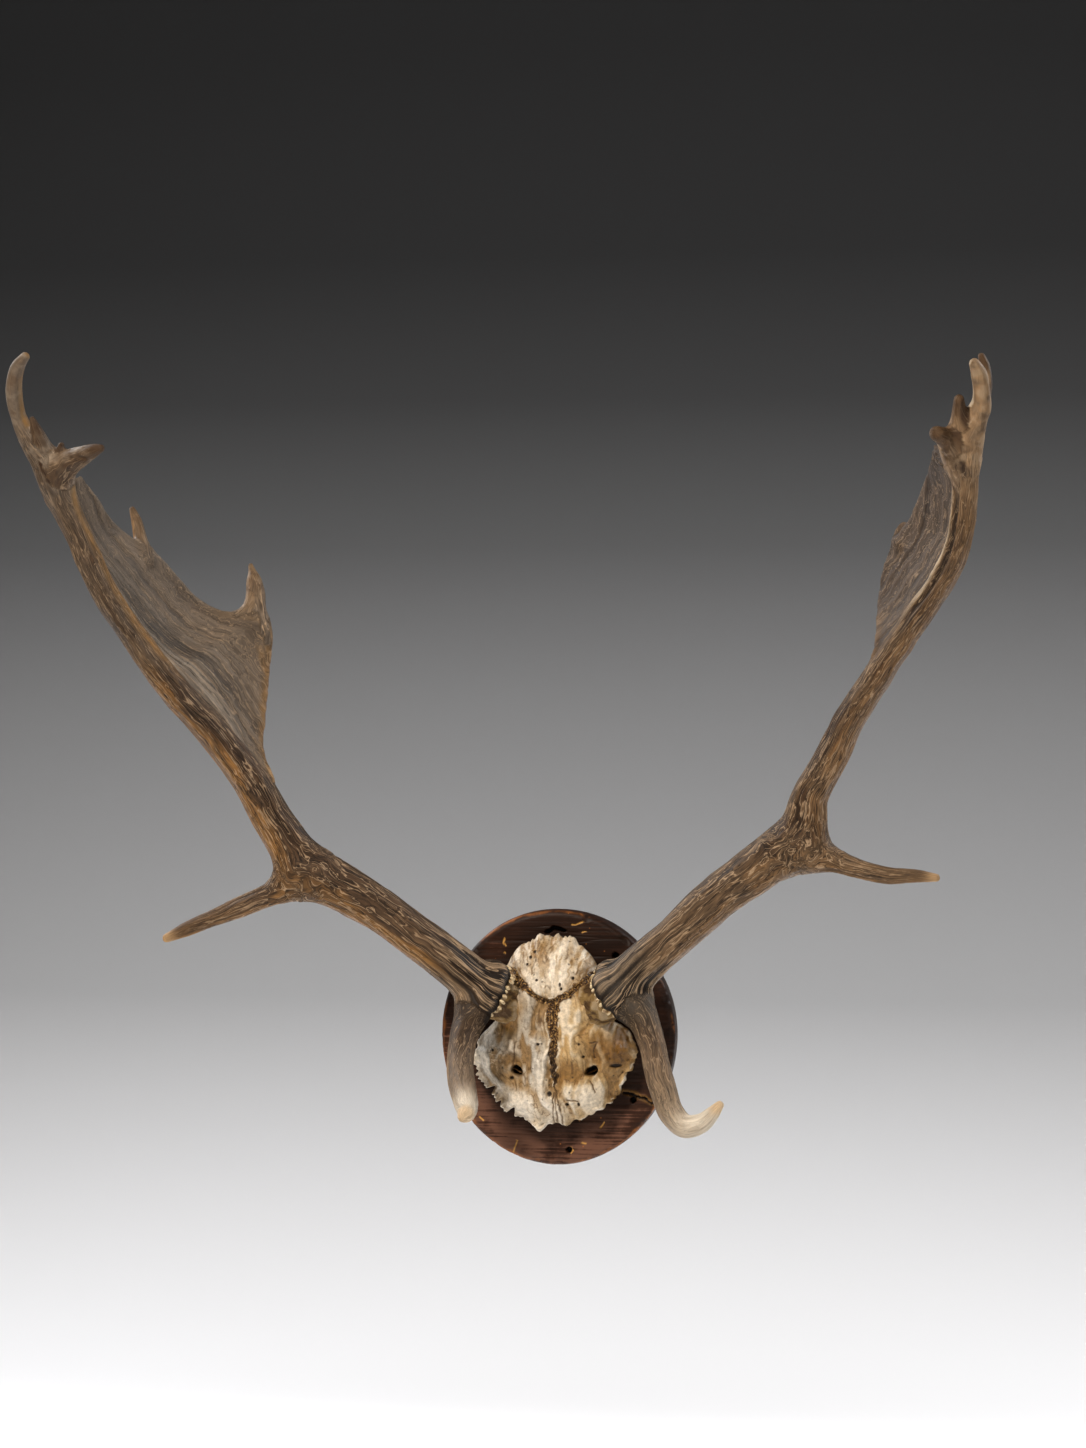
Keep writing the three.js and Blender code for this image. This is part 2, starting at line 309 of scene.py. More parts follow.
def lay_colours(base: str, layers: Sequence[tuple[str, Array]]) -> Array:
    """Lays colours over one another by their masks.

    Args:
        base: Hex colour under all the others.
        layers: Each hex colour with its mask, from the lowest to the highest.

    Returns:
        A colour for each vertex, in linear light.
    """
    shade = np.tile(srgb(base), (len(layers[0][1]), 1))
    for colour, mask in layers:
        shade += (srgb(colour) - shade) * np.clip(mask, 0.0, 1.0)[:, None]
    return to_light(shade)


def grow(
    name: str,
    points: Array,
    edges: Sequence[tuple[int, int]],
    tree: bpy.types.NodeTree,
    sizes: dict[str, Any],
) -> bpy.types.Object:
    """Runs Geometry Nodes on a wire and keeps what they make as a plain mesh.

    Args:
        name: Name of the piece.
        points: Points of the wire in millimetres.
        edges: Pairs of points that the wire joins.
        tree: The Geometry Nodes.
        sizes: Values for the tree's inputs, by their names.

    Returns:
        The piece, linked to the scene.
    """
    wire = bpy.data.meshes.new(name + "_wire")
    wire.from_pydata((points * MM).tolist(), list(edges), [])
    piece = bpy.data.objects.new(name, wire)
    bpy.context.collection.objects.link(piece)
    modifier = piece.modifiers.new(name, "NODES")
    modifier.node_group = tree
    for item in tree.interface.items_tree:
        if item.name in sizes:
            modifier[item.identifier] = sizes[item.name]
    graph = bpy.context.evaluated_depsgraph_get()
    mesh = bpy.data.meshes.new_from_object(piece.evaluated_get(graph))
    piece.modifiers.clear()
    piece.data = mesh
    mesh.name = name
    return piece


def new_material(name: str) -> tuple[bpy.types.Material, bpy.types.NodeTree, Any]:
    """An empty node material.

    Args:
        name: Name of the substance and how its surface was made.

    Returns:
        The material, its node tree and its surface shader.
    """
    material = bpy.data.materials.new(name)
    material.use_nodes = True
    tree = material.node_tree
    tree.nodes.clear()
    shader = add(tree, "ShaderNodeBsdfPrincipled")
    add(tree, "ShaderNodeOutputMaterial", {"Surface": shader.outputs[0]})
    return material, tree, shader


# Antlers


@dataclass(frozen=True)
class Samples:
    """Balls that fill one piece of an antler, with the grain that runs through them."""

    part: Part
    centre: Array
    radius: Array
    core: Array
    tangent: Array
    across: Array
    outward: Array
    along: Array
    share: Array
    width: Array
    length: float


@dataclass(frozen=True)
class Limb:
    """A round limb that tapers from its root to its tip and grows out with a rounded corner."""

    part: Part
    blend: float
    stations: tuple[Station, ...]

    def samples(self, spacing: float) -> Samples:
        """Balls along the limb.

        Args:
            spacing: Distance between the balls.

        Returns:
            The balls, with the limb's own directions at each.
        """
        stations = np.array(self.stations, float)
        fine = np.linspace(0, len(stations) - 1, 60 * len(stations))
        path = spline(stations[:, :3], fine)
        run = np.concatenate([[0.0], np.cumsum(np.linalg.norm(np.diff(path, axis=0), axis=1))])
        along = np.linspace(0.0, run[-1], max(int(run[-1] / spacing), 2))
        at = np.interp(along, run, fine)
        centre = spline(stations[:, :3], at)
        radius = np.interp(at, np.arange(len(stations)), stations[:, 3])
        tangent = unit(np.gradient(centre, axis=0))
        outward = unit(np.array([0.0, 1.0, 0.0]) - tangent * tangent[:, 1:2])
        across = np.cross(tangent, outward)
        none = np.zeros(len(along))
        return Samples(
            self.part, centre, radius, centre, tangent, across, outward, along, none, none, float(run[-1])
        )


@dataclass(frozen=True)
class Palm:
    """The flat blade between the back of the leading edge and the trailing edge.

    It runs from station first to station last of the main limb. It thins from root_half to edge_half,
    hollow is the depth of its cup as a share of its width, and its root lies set_back behind the limb.
    """

    first: float
    last: float
    trail: tuple[Point, ...]
    root_half: float = 4.2
    edge_half: float = 2.2
    hollow: float = 0.11
    set_back: float = 7.5
    blend: float = 2.0

    def samples(self, main: Limb, side: Side, spacing: float) -> Samples:
        """Balls all over the middle of the blade.

        Args:
            main: Limb that the leading edge belongs to.
            side: The antler's side.
            spacing: Distance between the balls.

        Returns:
            The balls, with the blade's own directions at each.
        """
        lead_stations = np.array(main.stations, float)[:, :3]
        trail_stations = np.array(self.trail, float)
        share = np.linspace(0.0, 1.0, 200)
        lead = spline(lead_stations, self.first + (self.last - self.first) * share)
        trail = spline(trail_stations, share * (len(trail_stations) - 1))
        middle = 0.5 * (lead + trail)
        run = np.concatenate([[0.0], np.cumsum(np.linalg.norm(np.diff(middle, axis=0), axis=1))])
        longest = max(np.linalg.norm(np.diff(line, axis=0), axis=1).sum() for line in (lead, trail))
        chord = trail - lead
        width = np.linalg.norm(chord, axis=1)
        tangent = unit(np.gradient(middle, axis=0))
        normal = unit(np.cross(chord, tangent))
        table = np.concatenate([lead, chord, normal, tangent, width[:, None], run[:, None]], axis=1)
        rows = np.linspace(0, len(share) - 1, int(longest / spacing))
        reach = np.linspace(0.0, 1.0, int(width.max() / spacing))
        row, c = (grid.ravel() for grid in np.meshgrid(rows, reach, indexing="ij"))
        here = np.stack([np.interp(row, np.arange(len(share)), column) for column in table.T], axis=1)
        lead, chord, normal, tangent = (here[:, i:i + 3] for i in (0, 3, 6, 9))
        width, along = here[:, 12], here[:, 13]
        arch = side.value * self.hollow * width * (1.0 - (2.0 * c - 1.0) ** 2)
        centre = lead + chord * c[:, None] + unit(normal) * arch[:, None]
        centre[:, 1] += self.set_back * smooth(0.45, 0.0, c)
        radius = self.root_half + (self.edge_half - self.root_half) * np.sqrt(c)
        return Samples(
            Part.PALM,
            centre,
            radius,
            centre,
            unit(tangent),
            unit(chord),
            unit(normal),
            along,
            c,
            width,
            float(run[-1]),
        )


@dataclass(frozen=True)
class Burr:
    """The swollen foot of an antler that its coronet stands on.

    The last four sizes bound its skin: how far out it begins and ends, how far it reaches under and over
    its station, and over which heights it gets painted shadow under the coronet.
    """

    station: float = 1.16
    ring: float = 16.5
    tube: float = 7.4
    rise: float = 5.0
    blend: float = 11.0
    inner: Span = (16.0, 18.5)
    outer: float = 32.0
    reach: Span = (-2.6, 14.0)
    painted_shade: Span = (6.0, 1.5)

    def frame(self, main: Limb) -> tuple[Array, Array, Array, Array]:
        """Where the coronet sits on its beam.

        Args:
            main: Limb that the coronet goes round.

        Returns:
            Middle of the coronet, the way the beam runs there, and two directions across it.
        """
        stations = np.array(main.stations, float)[:, :3]
        here, ahead = spline(stations, np.array([self.station, self.station + 0.05]))
        axis = unit(ahead - here)
        outward = unit(np.array([0.0, 1.0, 0.0]) - axis * axis[1])
        return here, axis, np.cross(axis, outward), outward

    def samples(self, main: Limb, spacing: float) -> Samples:
        """Balls of the ring.

        Args:
            main: Limb that the ring goes round.
            spacing: Distance between the balls.

        Returns:
            The balls, with the beam's own directions at each.
        """
        here, axis, across, outward = self.frame(main)
        beam = main.samples(spacing)
        nearest = int(np.argmin(np.linalg.norm(beam.centre - here, axis=1)))
        around = 2.0 * math.pi
        turn = np.linspace(0.0, around, int(around * self.ring / spacing), endpoint=False)
        circle = np.cos(turn)[:, None] * across + np.sin(turn)[:, None] * outward
        swell = 1.0 + 0.05 * np.sin(3.0 * turn) + 0.04 * np.sin(7.0 * turn + 1.0)
        centre = here + axis * self.rise + circle * (self.ring * swell)[:, None]
        one = np.ones((len(turn), 1))
        none = np.zeros(len(turn))
        return Samples(
            Part.BEAM,
            centre,
            np.full(len(turn), self.tube),
            here * one,
            axis * one,
            across * one,
            outward * one,
            np.full(len(turn), beam.along[nearest]),
            none,
            none,
            beam.length,
        )


class Clay:
    """A block of distances that limbs are pressed into, so that they grow into one another.

    FAR is the distance in empty space, SKIN_DEPTH is how deep the corner of a fork is noted, and BAND is
    how far past its rounded corner a piece's distances are worked out.
    """

    FAR = 26.0
    SKIN_DEPTH = 4.0
    BAND = 3.0

    def __init__(self, low: Array, high: Array, voxel: float) -> None:
        """Starts an empty block.

        Args:
            low: Lowest corner.
            high: Highest corner.
            voxel: Distance between the block's samples.
        """
        self.low = low
        self.voxel = voxel
        shape = tuple(np.ceil((high - low) / voxel).astype(int) + 1)
        self.distance = np.full(shape, self.FAR, np.float32)
        self.owner = np.full(shape, -1, np.int32)
        self.fork = np.zeros(shape, np.float32)

    def window(self, low: Array, high: Array) -> tuple[slice, ...]:
        """The part of the block between two corners.

        Args:
            low: Lowest corner.
            high: Highest corner.

        Returns:
            One slice of the block for each axis.
        """
        first = np.maximum(np.floor((low - self.low) / self.voxel).astype(int), 0)
        last = np.minimum(np.ceil((high - self.low) / self.voxel).astype(int) + 1, self.distance.shape)
        return tuple(slice(a, b) for a, b in zip(first, last))

    def offsets(self, box: tuple[slice, ...], here: Array) -> list[Array]:
        """How far the samples of a part of the block are from a point, axis by axis."""
        return [np.arange(b.start, b.stop) * self.voxel + self.low[i] - here[i] for i, b in enumerate(box)]

    def press(self, samples: Samples, base: int, blend: float) -> None:
        """Adds one piece to the block, rounding the corner where it meets the rest.

        Args:
            samples: Balls of the piece.
            base: Number of the piece's first ball among all balls.
            blend: Size of the rounded corner.
        """
        band = blend + self.BAND
        margin = samples.radius.max() + band
        whole = self.window(samples.centre.min(0) - margin, samples.centre.max(0) + margin)
        start = [w.start for w in whole]
        piece = np.full([w.stop - w.start for w in whole], self.FAR, np.float32)
        owner = np.full(piece.shape, -1, np.int32)
        for number, (centre, radius) in enumerate(zip(samples.centre, samples.radius)):
            box = self.window(centre - radius - band, centre + radius + band)
            x, y, z = (offset.astype(np.float32) ** 2 for offset in self.offsets(box, centre))
            gap = np.sqrt(x[:, None, None] + y[None, :, None] + z[None, None, :]) - np.float32(radius)
            local = tuple(slice(b.start - s, b.stop - s) for b, s in zip(box, start))
            closer = gap < piece[local]
            piece[local][closer] = gap[closer]
            owner[local][closer] = base + number
        rest = self.distance[whole]
        corner = np.maximum(blend - np.abs(rest - piece), 0.0) / blend
        nearer = piece < rest
        self.owner[whole][nearer] = owner[nearer]
        self.distance[whole] = np.minimum(rest, piece) - corner * corner * blend * 0.25
        if samples.part != Part.PALM:
            skin = (np.minimum(rest, piece) < self.SKIN_DEPTH) * (rest < self.FAR)
            self.fork[whole] = np.maximum(self.fork[whole], corner * skin)

    def undercut(self, here: Array, axis: Array, reach: float) -> None:
        """Cuts away what lies under a plane, within a box about one of the plane's points.

        Args:
            here: Point of the plane.
            axis: Direction out of the plane, to the side that stays.
            reach: Half the side of the box.
        """
        box = self.window(here - reach, here + reach)
        x, y, z = (offset * way for offset, way in zip(self.offsets(box, here), axis))
        above = x[:, None, None] + y[None, :, None] + z[None, None, :]
        self.distance[box] = np.maximum(self.distance[box], -above)

    def surface(self) -> tuple[Array, Array, tuple[Array, ...]]:
        """The skin of what was pressed.

        Returns:
            Vertices, faces, and the place in the block that is nearest to each vertex.
        """
        grid = openvdb.FloatGrid(self.FAR)
        grid.copyFromArray(self.distance)
        points, _, quads = grid.convertToPolygons(isovalue=0.0, adaptivity=0.0)
        near = np.clip(np.rint(points).astype(int), 0, np.array(self.distance.shape) - 1)
        return points * self.voxel + self.low, quads, tuple(near.T)


@dataclass(frozen=True)
class AntlerShape:
    """Pieces of one antler; main runs from the pedicle along the palm's leading edge to the top tine.

    The bar is the leading edge above the height bar_from, with a groove of some depth beside the blade.
    The brow tine is rubbed to ivory over a length from its tip.
    """

    main: Limb
    palm: Palm
    stalk: Limb
    limbs: tuple[Limb, ...]
    bar_from: float
    ivory: float
    groove: float = 0.0
    burr: Burr = Burr()


LEFT_SHAPE = AntlerShape(
    main=Limb(
        Part.BEAM,
        22.0,
        (
            (-31, -47, 26, 16.5), (-43, -56, 31, 17.6), (-61, -66, 47, 16.4), (-89, -75, 70, 15.7),
            (-119, -82, 93, 15.7), (-148, -88, 111, 17.5), (-175, -94, 128, 17.2), (-195, -104, 158, 14.5),
            (-208, -118, 186, 13.4), (-231, -140, 224, 11.5), (-253, -164, 254, 10.7),
            (-272, -190, 286, 9.8), (-289, -220, 323, 9), (-300, -242, 359, 9.3), (-309, -260, 389, 10.2),
            (-314, -271, 408, 9.9), (-322, -279, 421, 7.5), (-329, -288, 440, 5.3), (-329, -297, 456, 5.6),
            (-324, -305, 470, 4.9), (-317, -310, 477, 3.2),
        ),
    ),
    palm=Palm(
        first=8,
        last=14,
        trail=(
            (-195, -116, 190), (-206, -104, 213), (-207, -95, 238), (-206, -89, 264), (-205, -87, 289),
            (-208, -89, 308), (-230, -98, 310), (-250, -111, 319), (-263, -126, 336), (-275, -142, 352),
            (-289, -157, 363), (-299, -173, 374), (-304, -195, 389), (-309, -214, 402),
        ),
    ),
    stalk=Limb(Part.STALK, 1.5, ((-29, -44, 25, 17), (-37, -51.5, 28.5, 16), (-46, -58, 33, 16.5))),
    limbs=(
        Limb(
            Part.BROW,
            16.0,
            (
                (-50, -63, 29, 11.5), (-57, -78, 15, 11.2), (-60, -94, 0, 10.4), (-58, -112, -14, 10),
                (-52, -134, -27, 9.6), (-46, -154, -35, 8.6), (-43, -168, -40, 6.6), (-44, -175, -42, 4.2),
            ),
        ),
        Limb(
            Part.TREZ,
            20.0,
            (
                (-170, -93, 122, 11), (-184, -96, 115, 10.4), (-198, -99, 109, 9), (-218, -104, 100, 7.5),
                (-240, -108, 91, 6.2), (-261, -112, 82, 5.1), (-274, -115, 76, 3.2),
            ),
        ),
        Limb(
            Part.POINT,
            7.0,
            (
                (-207, -89, 292, 3), (-210, -88, 308, 4.6), (-214, -84, 326, 5.6), (-217, -81, 337, 4.4),
                (-221, -77, 348, 2),
            ),
        ),
        Limb(
            Part.POINT,
            7.0,
            ((-232, -99, 306, 3), (-222, -92, 313, 4.2), (-217, -85, 325, 4.6), (-218, -81, 335, 3.6)),
        ),
        Limb(
            Part.POINT,
            7.0,
            ((-279, -148, 349, 3), (-284, -146, 362, 5.2), (-289, -141, 377, 4.1), (-293, -138, 386, 2.4)),
        ),
        Limb(
            Part.POINT,
            14.0,
            (
                (-309, -261, 391, 4), (-306, -268, 400, 8.4), (-297, -280, 407, 9.6),
                (-283, -293, 411.5, 6.8), (-272, -301, 414.5, 4.6), (-266, -305, 415.5, 2.8),
            ),
        ),
        Limb(Part.POINT, 4.0, ((-312, -277, 415, 6), (-315, -286, 427, 4.2), (-318, -291, 437, 2.2))),
        Limb(Part.POINT, 3.0, ((-302, -281, 414, 4), (-300, -284, 420, 2.2))),
    ),
    bar_from=245.0,
    ivory=44.0,
)
RIGHT_SHAPE = AntlerShape(
    main=Limb(
        Part.BEAM,
        22.0,
        (
            (30, -47, 26, 16.5), (47, -56, 33, 17.5), (62, -66, 51, 16.3), (93, -75, 79, 14.8),
            (124, -82, 107, 16.1), (159, -88, 132, 17.3), (184, -94, 152, 16.6), (192, -104, 180, 12.8),
            (207, -118, 206, 11.6), (224, -140, 238, 10.3), (246, -164, 269, 9.6), (269, -190, 301, 9.1),
            (292, -220, 333, 8.7), (301, -240, 354, 8.2), (305, -258, 383, 9.2), (305, -271, 406, 10.1),
            (311, -280, 424, 7.8), (316, -289, 440, 5.5), (315, -298, 455, 5.5), (312, -305, 462, 3.5),
        ),
    ),
    palm=Palm(
        first=9.6,
        last=14.6,
        trail=(
            (234, -150, 266), (240, -120, 285), (241, -104, 305), (242, -98, 323), (246, -100, 344),
            (253, -108, 360), (263, -122, 371), (271, -144, 386), (278, -168, 400), (284, -206, 417),
        ),
    ),
    stalk=Limb(Part.STALK, 1.5, ((28, -44, 25, 17), (38, -51.5, 29.5, 16), (49, -58, 35, 16.5))),
    limbs=(
        Limb(
            Part.BROW,
            16.0,
            (
                (50, -64, 31, 11.5), (67, -77, 22, 11.2), (77, -92, 5, 9.6), (83, -107, -11, 9.6),
                (90, -122, -27, 9.6), (97, -136, -41, 9.1), (108, -147, -49, 8.4), (120, -155, -46, 7),
                (128, -161, -39, 5.3), (134, -165, -32, 3.2),
            ),
        ),
        Limb(
            Part.TREZ,
            20.0,
            (
                (178, -93, 145, 11), (191, -96, 139, 10.2), (207, -99, 135, 8.4), (227, -104, 129, 6.6),
                (248, -108, 125, 5.8), (268, -112, 125, 4.6), (281, -115, 124, 2.8),
            ),
        ),
        Limb(
            Part.POINT,
            7.0,
            ((254, -111, 357, 2.4), (255, -100, 365, 4.2), (257, -86, 371, 3.6), (258, -76, 373, 2.4)),
        ),
        Limb(Part.POINT, 13.0, ((301, -268, 406, 8.5), (293, -286, 416, 6.3), (288, -300, 418, 5))),
        Limb(Part.POINT, 8.0, ((305, -276, 416, 7.5), (302, -288, 429, 5), (302, -297, 440, 3.4))),
        Limb(
            Part.POINT,
            5.0,
            ((316, -284, 436, 4.8), (319, -282, 451, 4.2), (318, -282, 463, 3.6), (316, -283, 469, 2.5)),
        ),
    ),
    bar_from=285.0,
    ivory=64.0,
    groove=2.2,
)


@dataclass(frozen=True)
class Zones:
    """Where the look of an antler changes.

    Heights are over the middle of the plaque, lengths along start at the root of a piece, and lengths
    left end at its tip.
    """

    crown_height: Span = (360.0, 410.0)
    upper_height: Span = (118.0, 165.0)
    patchy_height: Span = (150.0, 90.0)
    swirl_height: Span = (330.0, 280.0)
    edge_height: Span = (325.0, 285.0)
    groove_height: Span = (395.0, 365.0)
    speller_height: Span = (395.0, 375.0)
    pitted_height: tuple[Span, Span] = ((395.0, 405.0), (425.0, 415.0))
    bar_rise: float = 45.0
    foot_along: Span = (100.0, 45.0)
    soot_along: Span = (85.0, 45.0)
    brow_soot_along: Span = (55.0, 16.0)
    brow_root_along: Span = (45.0, 20.0)
    worn_left: Span = (70.0, 48.0)
    tip_left: Span = (46.0, 8.0)
    under_left: Span = (16.0, 4.0)
    speller_left: Span = (48.0, 8.0)
    trez_left: Span = (90.0, 40.0)
    trez_spot_left: Span = (12.0, 0.0)
    brow_left: Span = (115.0, 35.0)
    brow_calm_left: Span = (90.0, 30.0)
    brow_rub_left: Span = (70.0, 20.0)
    brow_spot_left: Span = (9.0, 1.5)


@dataclass(frozen=True)
class Spot:
    """Where each vertex of an antler's skin lies on the piece that it grew from."""

    part: Array
    along: Array
    left: Array
    turn: Array
    outwards: Array
    share: Array
    width: Array

    def on(self, part: Part) -> Array:
        """Which vertices grew from one kind of piece."""
        return self.part == part

    @property
    def foot(self) -> Array:
        """How near each vertex of the beam is to the coronet, from 0 to 1."""
        return np.where(self.on(Part.BEAM), smooth(*Zones.foot_along, self.along), 0.0)


@dataclass
class Antler:
    """One antler, grown in one from the pedicle to the top tines."""

    side: Side
    shape: AntlerShape
    finish: "AntlerFinish"
    voxel: float = 1.28
    ball_spacing: float = 1.6
    gutter: float = 1.0
    gutter_size: Point = (3.5, 3.5, 46.0)
    ridge: float = 0.35
    streak_size: Point = (5.0, 5.0, 26.0)
    swell: float = 0.6
    swell_size: float = 24.0
    patch_size: float = 34.0
    mottle_size: float = 6.5
    wander_size: float = 13.0
    pit: float = 1.1
    pit_size: float = 3.2
    margin: float = 6.0
    undercut: float = 34.0
    zones: Zones = Zones()
    seed: int = 11

    @property
    def name(self) -> str:
        """The viewer's side in small letters."""
        return self.side.name.lower()

    def pieces(self) -> list[tuple[Samples, float]]:
        """Fills every piece of the antler with balls.

        Returns:
            Balls of every piece, the stalk last, each with the size of the corner where it grows out.
        """
        shape = self.shape
        step = self.ball_spacing
        first = [
            (shape.main.samples(step), shape.main.blend),
            (shape.burr.samples(shape.main, step), shape.burr.blend),
        ]
        limbs = [(limb.samples(step), limb.blend) for limb in shape.limbs]
        blade = [(shape.palm.samples(shape.main, self.side, step), shape.palm.blend)]
        stalk = [(shape.stalk.samples(step), shape.stalk.blend)]
        # The blade comes after the brow and trez tines, and before the points that grow out of it.
        return first + limbs[:2] + blade + limbs[2:] + stalk

    def build(self) -> bpy.types.Object:
        """Grows the antler and works its gutters and ridges.

        Returns:
            The antler, with attributes that its finish reads.
        """
        pieces = self.pieces()
        low = np.min([(s.centre - s.radius[:, None]).min(0) for s, _ in pieces], axis=0) - self.margin
        high = np.max([(s.centre + s.radius[:, None]).max(0) for s, _ in pieces], axis=0) + self.margin
        clay = Clay(low, high, self.voxel)
        base = 0
        for samples, blend in pieces[:-1]:
            clay.press(samples, base, blend)
            base += len(samples.radius)
        here, axis, _, _ = self.shape.burr.frame(self.shape.main)
        clay.undercut(here - axis, axis, self.undercut)
        clay.press(pieces[-1][0], base, pieces[-1][1])
        points, faces, near = clay.surface()
        rough = make_piece(f"{self.name}_rough", points, faces, {})
        normals = np.empty(len(points) * 3, np.float32)
        rough.data.vertices.foreach_get("normal", normals)
        bpy.data.objects.remove(rough)
        normals = normals.reshape(-1, 3).astype(float)
        balls = [samples for samples, _ in pieces]
        lift, values = self.surface_values(points, normals, clay.owner[near], clay.fork[near], balls)
        return make_piece(f"{self.name}_antler", points + normals * lift[:, None], faces, values)

    @staticmethod
    def locate(points: Array, owner: Array, pieces: list[Samples]) -> Spot:
        """Finds where each vertex lies on the piece that it grew from.

        Args:
            points: Vertices of the skin.
            owner: Number of the ball nearest to each vertex.
            pieces: Balls of every piece, in the order of their numbers.

        Returns:
            The place of each vertex along, across and round its piece.
        """
        table = {
            key: np.concatenate([getattr(s, key) for s in pieces])[owner]
            for key in ("core", "tangent", "across", "outward", "along", "share", "width")
        }
        part = np.concatenate([np.full(len(s.radius), int(s.part)) for s in pieces])[owner]
        length = np.concatenate([np.full(len(s.radius), s.length) for s in pieces])[owner]
        offset = points - table["core"]
        along = table["along"] + np.sum(offset * table["tangent"], axis=1)
        sideways = np.sum(offset * table["across"], axis=1)
        outwards = np.sum(offset * table["outward"], axis=1)
        turn = np.arctan2(outwards, sideways)
        share = np.clip(table["share"] + sideways / np.maximum(table["width"], 1.0), 0.0, 1.0)
        return Spot(part, along, length - along, turn, outwards, share, table["width"])

    def grain(self, points: Array, fork: Array, spot: Spot) -> Array:
        """The way the grain runs: along the limbs, fanned out on the blade, curled in the forks.

        Args:
            points: Vertices of the skin.
            fork: How deep each vertex is in the corner of a fork, from 0 to 1.
            spot: Where each vertex lies on its piece.

        Returns:
            The place of each vertex in the grain: two numbers across it and one along it.
        """
        beam, _, _, blade, point, _ = (spot.on(part) for part in Part)
        along, share, foot = spot.along, spot.share, spot.foot
        slim = np.interp(along, (0.0, 450.0, 540.0, 630.0), (15.0, 14.0, 9.0, 6.0))
        girth = np.where(beam, slim, np.where(point, 6.0, 10.0))
        run = np.where(beam, np.interp(along, (0.0, 60.0, 100.0, 900.0), (0.0, 20.0, 48.0, 848.0)), along)
        round_grain = np.stack([girth * np.cos(spot.turn), girth * np.sin(spot.turn), run], axis=1)
        fan = 25.0 * share + 0.65 * share * spot.width + 0.05 * along
        flat_grain = np.stack([fan, np.sign(spot.outwards) * 9.0, 0.45 * along], axis=1)
        grain = np.where(blade[:, None], flat_grain, round_grain) + 40.0 * spot.part[:, None]
        near = points / self.wander_size
        wander = np.stack([rough_noise(near, self.seed + 20 + i, 2) for i in range(3)], axis=1)
        swirl = 6.0 * fork * smooth(*self.zones.swirl_height, points[:, 2]) * (1.0 - 0.9 * foot)
        swirl *= np.where(blade | point, 0.15, 1.0)
        curl = np.where(blade, 0.6 + 1.8 * smooth(0.35, 0.8, share), 1.0 - 0.6 * foot)
        return grain + wander * (curl + swirl)[:, None]

    def surface_values(
        self,
        points: Array,
        normals: Array,
        owner: Array,
        fork: Array,
        pieces: list[Samples],
    ) -> tuple[Array, dict[str, Array]]:
        """Grain, relief and colour of the antler's skin.

        Args:
            points: Vertices of the skin.
            normals: Directions out of the skin.
            owner: Number of the ball nearest to each vertex.
            fork: How deep each vertex is in the corner of a fork, from 0 to 1.
            pieces: Balls of every piece, in the order of their numbers.

        Returns:
            Height to add along the normals, and attributes for the finish.
        """
        spot = self.locate(points, owner, pieces)
        grain = self.grain(points, fork, spot)
        along, left, share, foot = spot.along, spot.left, spot.share, spot.foot
        beam, brow, trez, blade, point, stalk = (spot.on(part) for part in Part)
        zones = self.zones
        burr = self.shape.burr
        height = points[:, 2]
        crown = smooth(*zones.crown_height, height) * (1.0 - blade)
        # Gutters and ridges, which fade out towards the rubbed tips.
        broad = lattice_noise(grain / np.array(self.gutter_size), self.seed)
        streak = rough_noise(grain / np.array(self.streak_size), self.seed + 5, 2)
        swell = rough_noise(points / self.swell_size, self.seed + 2, 2)
        patch = rough_noise(points / self.patch_size, self.seed + 3, 2)
        mottle = rough_noise(points / self.mottle_size, self.seed + 6, 3)
        worn = beam * smooth(*zones.worn_left, left)
        streak = streak + worn * (mottle - streak)
        tip = np.where(blade, 0.0, smooth(*zones.tip_left, left))
        calm = 1.0 - 0.8 * np.where(brow, smooth(*zones.brow_calm_left, left), tip)
        gutter = smooth(0.0, 0.4, broad) * (1.0 - worn)
        ridge = smooth(-0.15, -0.5, broad) * (1.0 - worn)
        here, axis, _, _ = burr.frame(self.shape.main)
        above = (points - here) @ axis
        out = np.linalg.norm(points - here - above[:, None] * axis, axis=1)
        low, high = burr.reach
        ring = smooth(*burr.inner, out) * (out < burr.outer) * (above > low) * (above < high)
        depth = np.where(blade, 0.3, 0.4 + 0.9 * foot) * calm
        lift = -self.gutter * depth * gutter + self.ridge * ridge * calm + self.swell * calm * swell
        lift += 0.9 * stalk * mottle
        pits = smooth(0.35, 0.8, lattice_noise(points / self.pit_size, self.seed + 4))
        lift -= self.pit * pits * self.pitted(height)
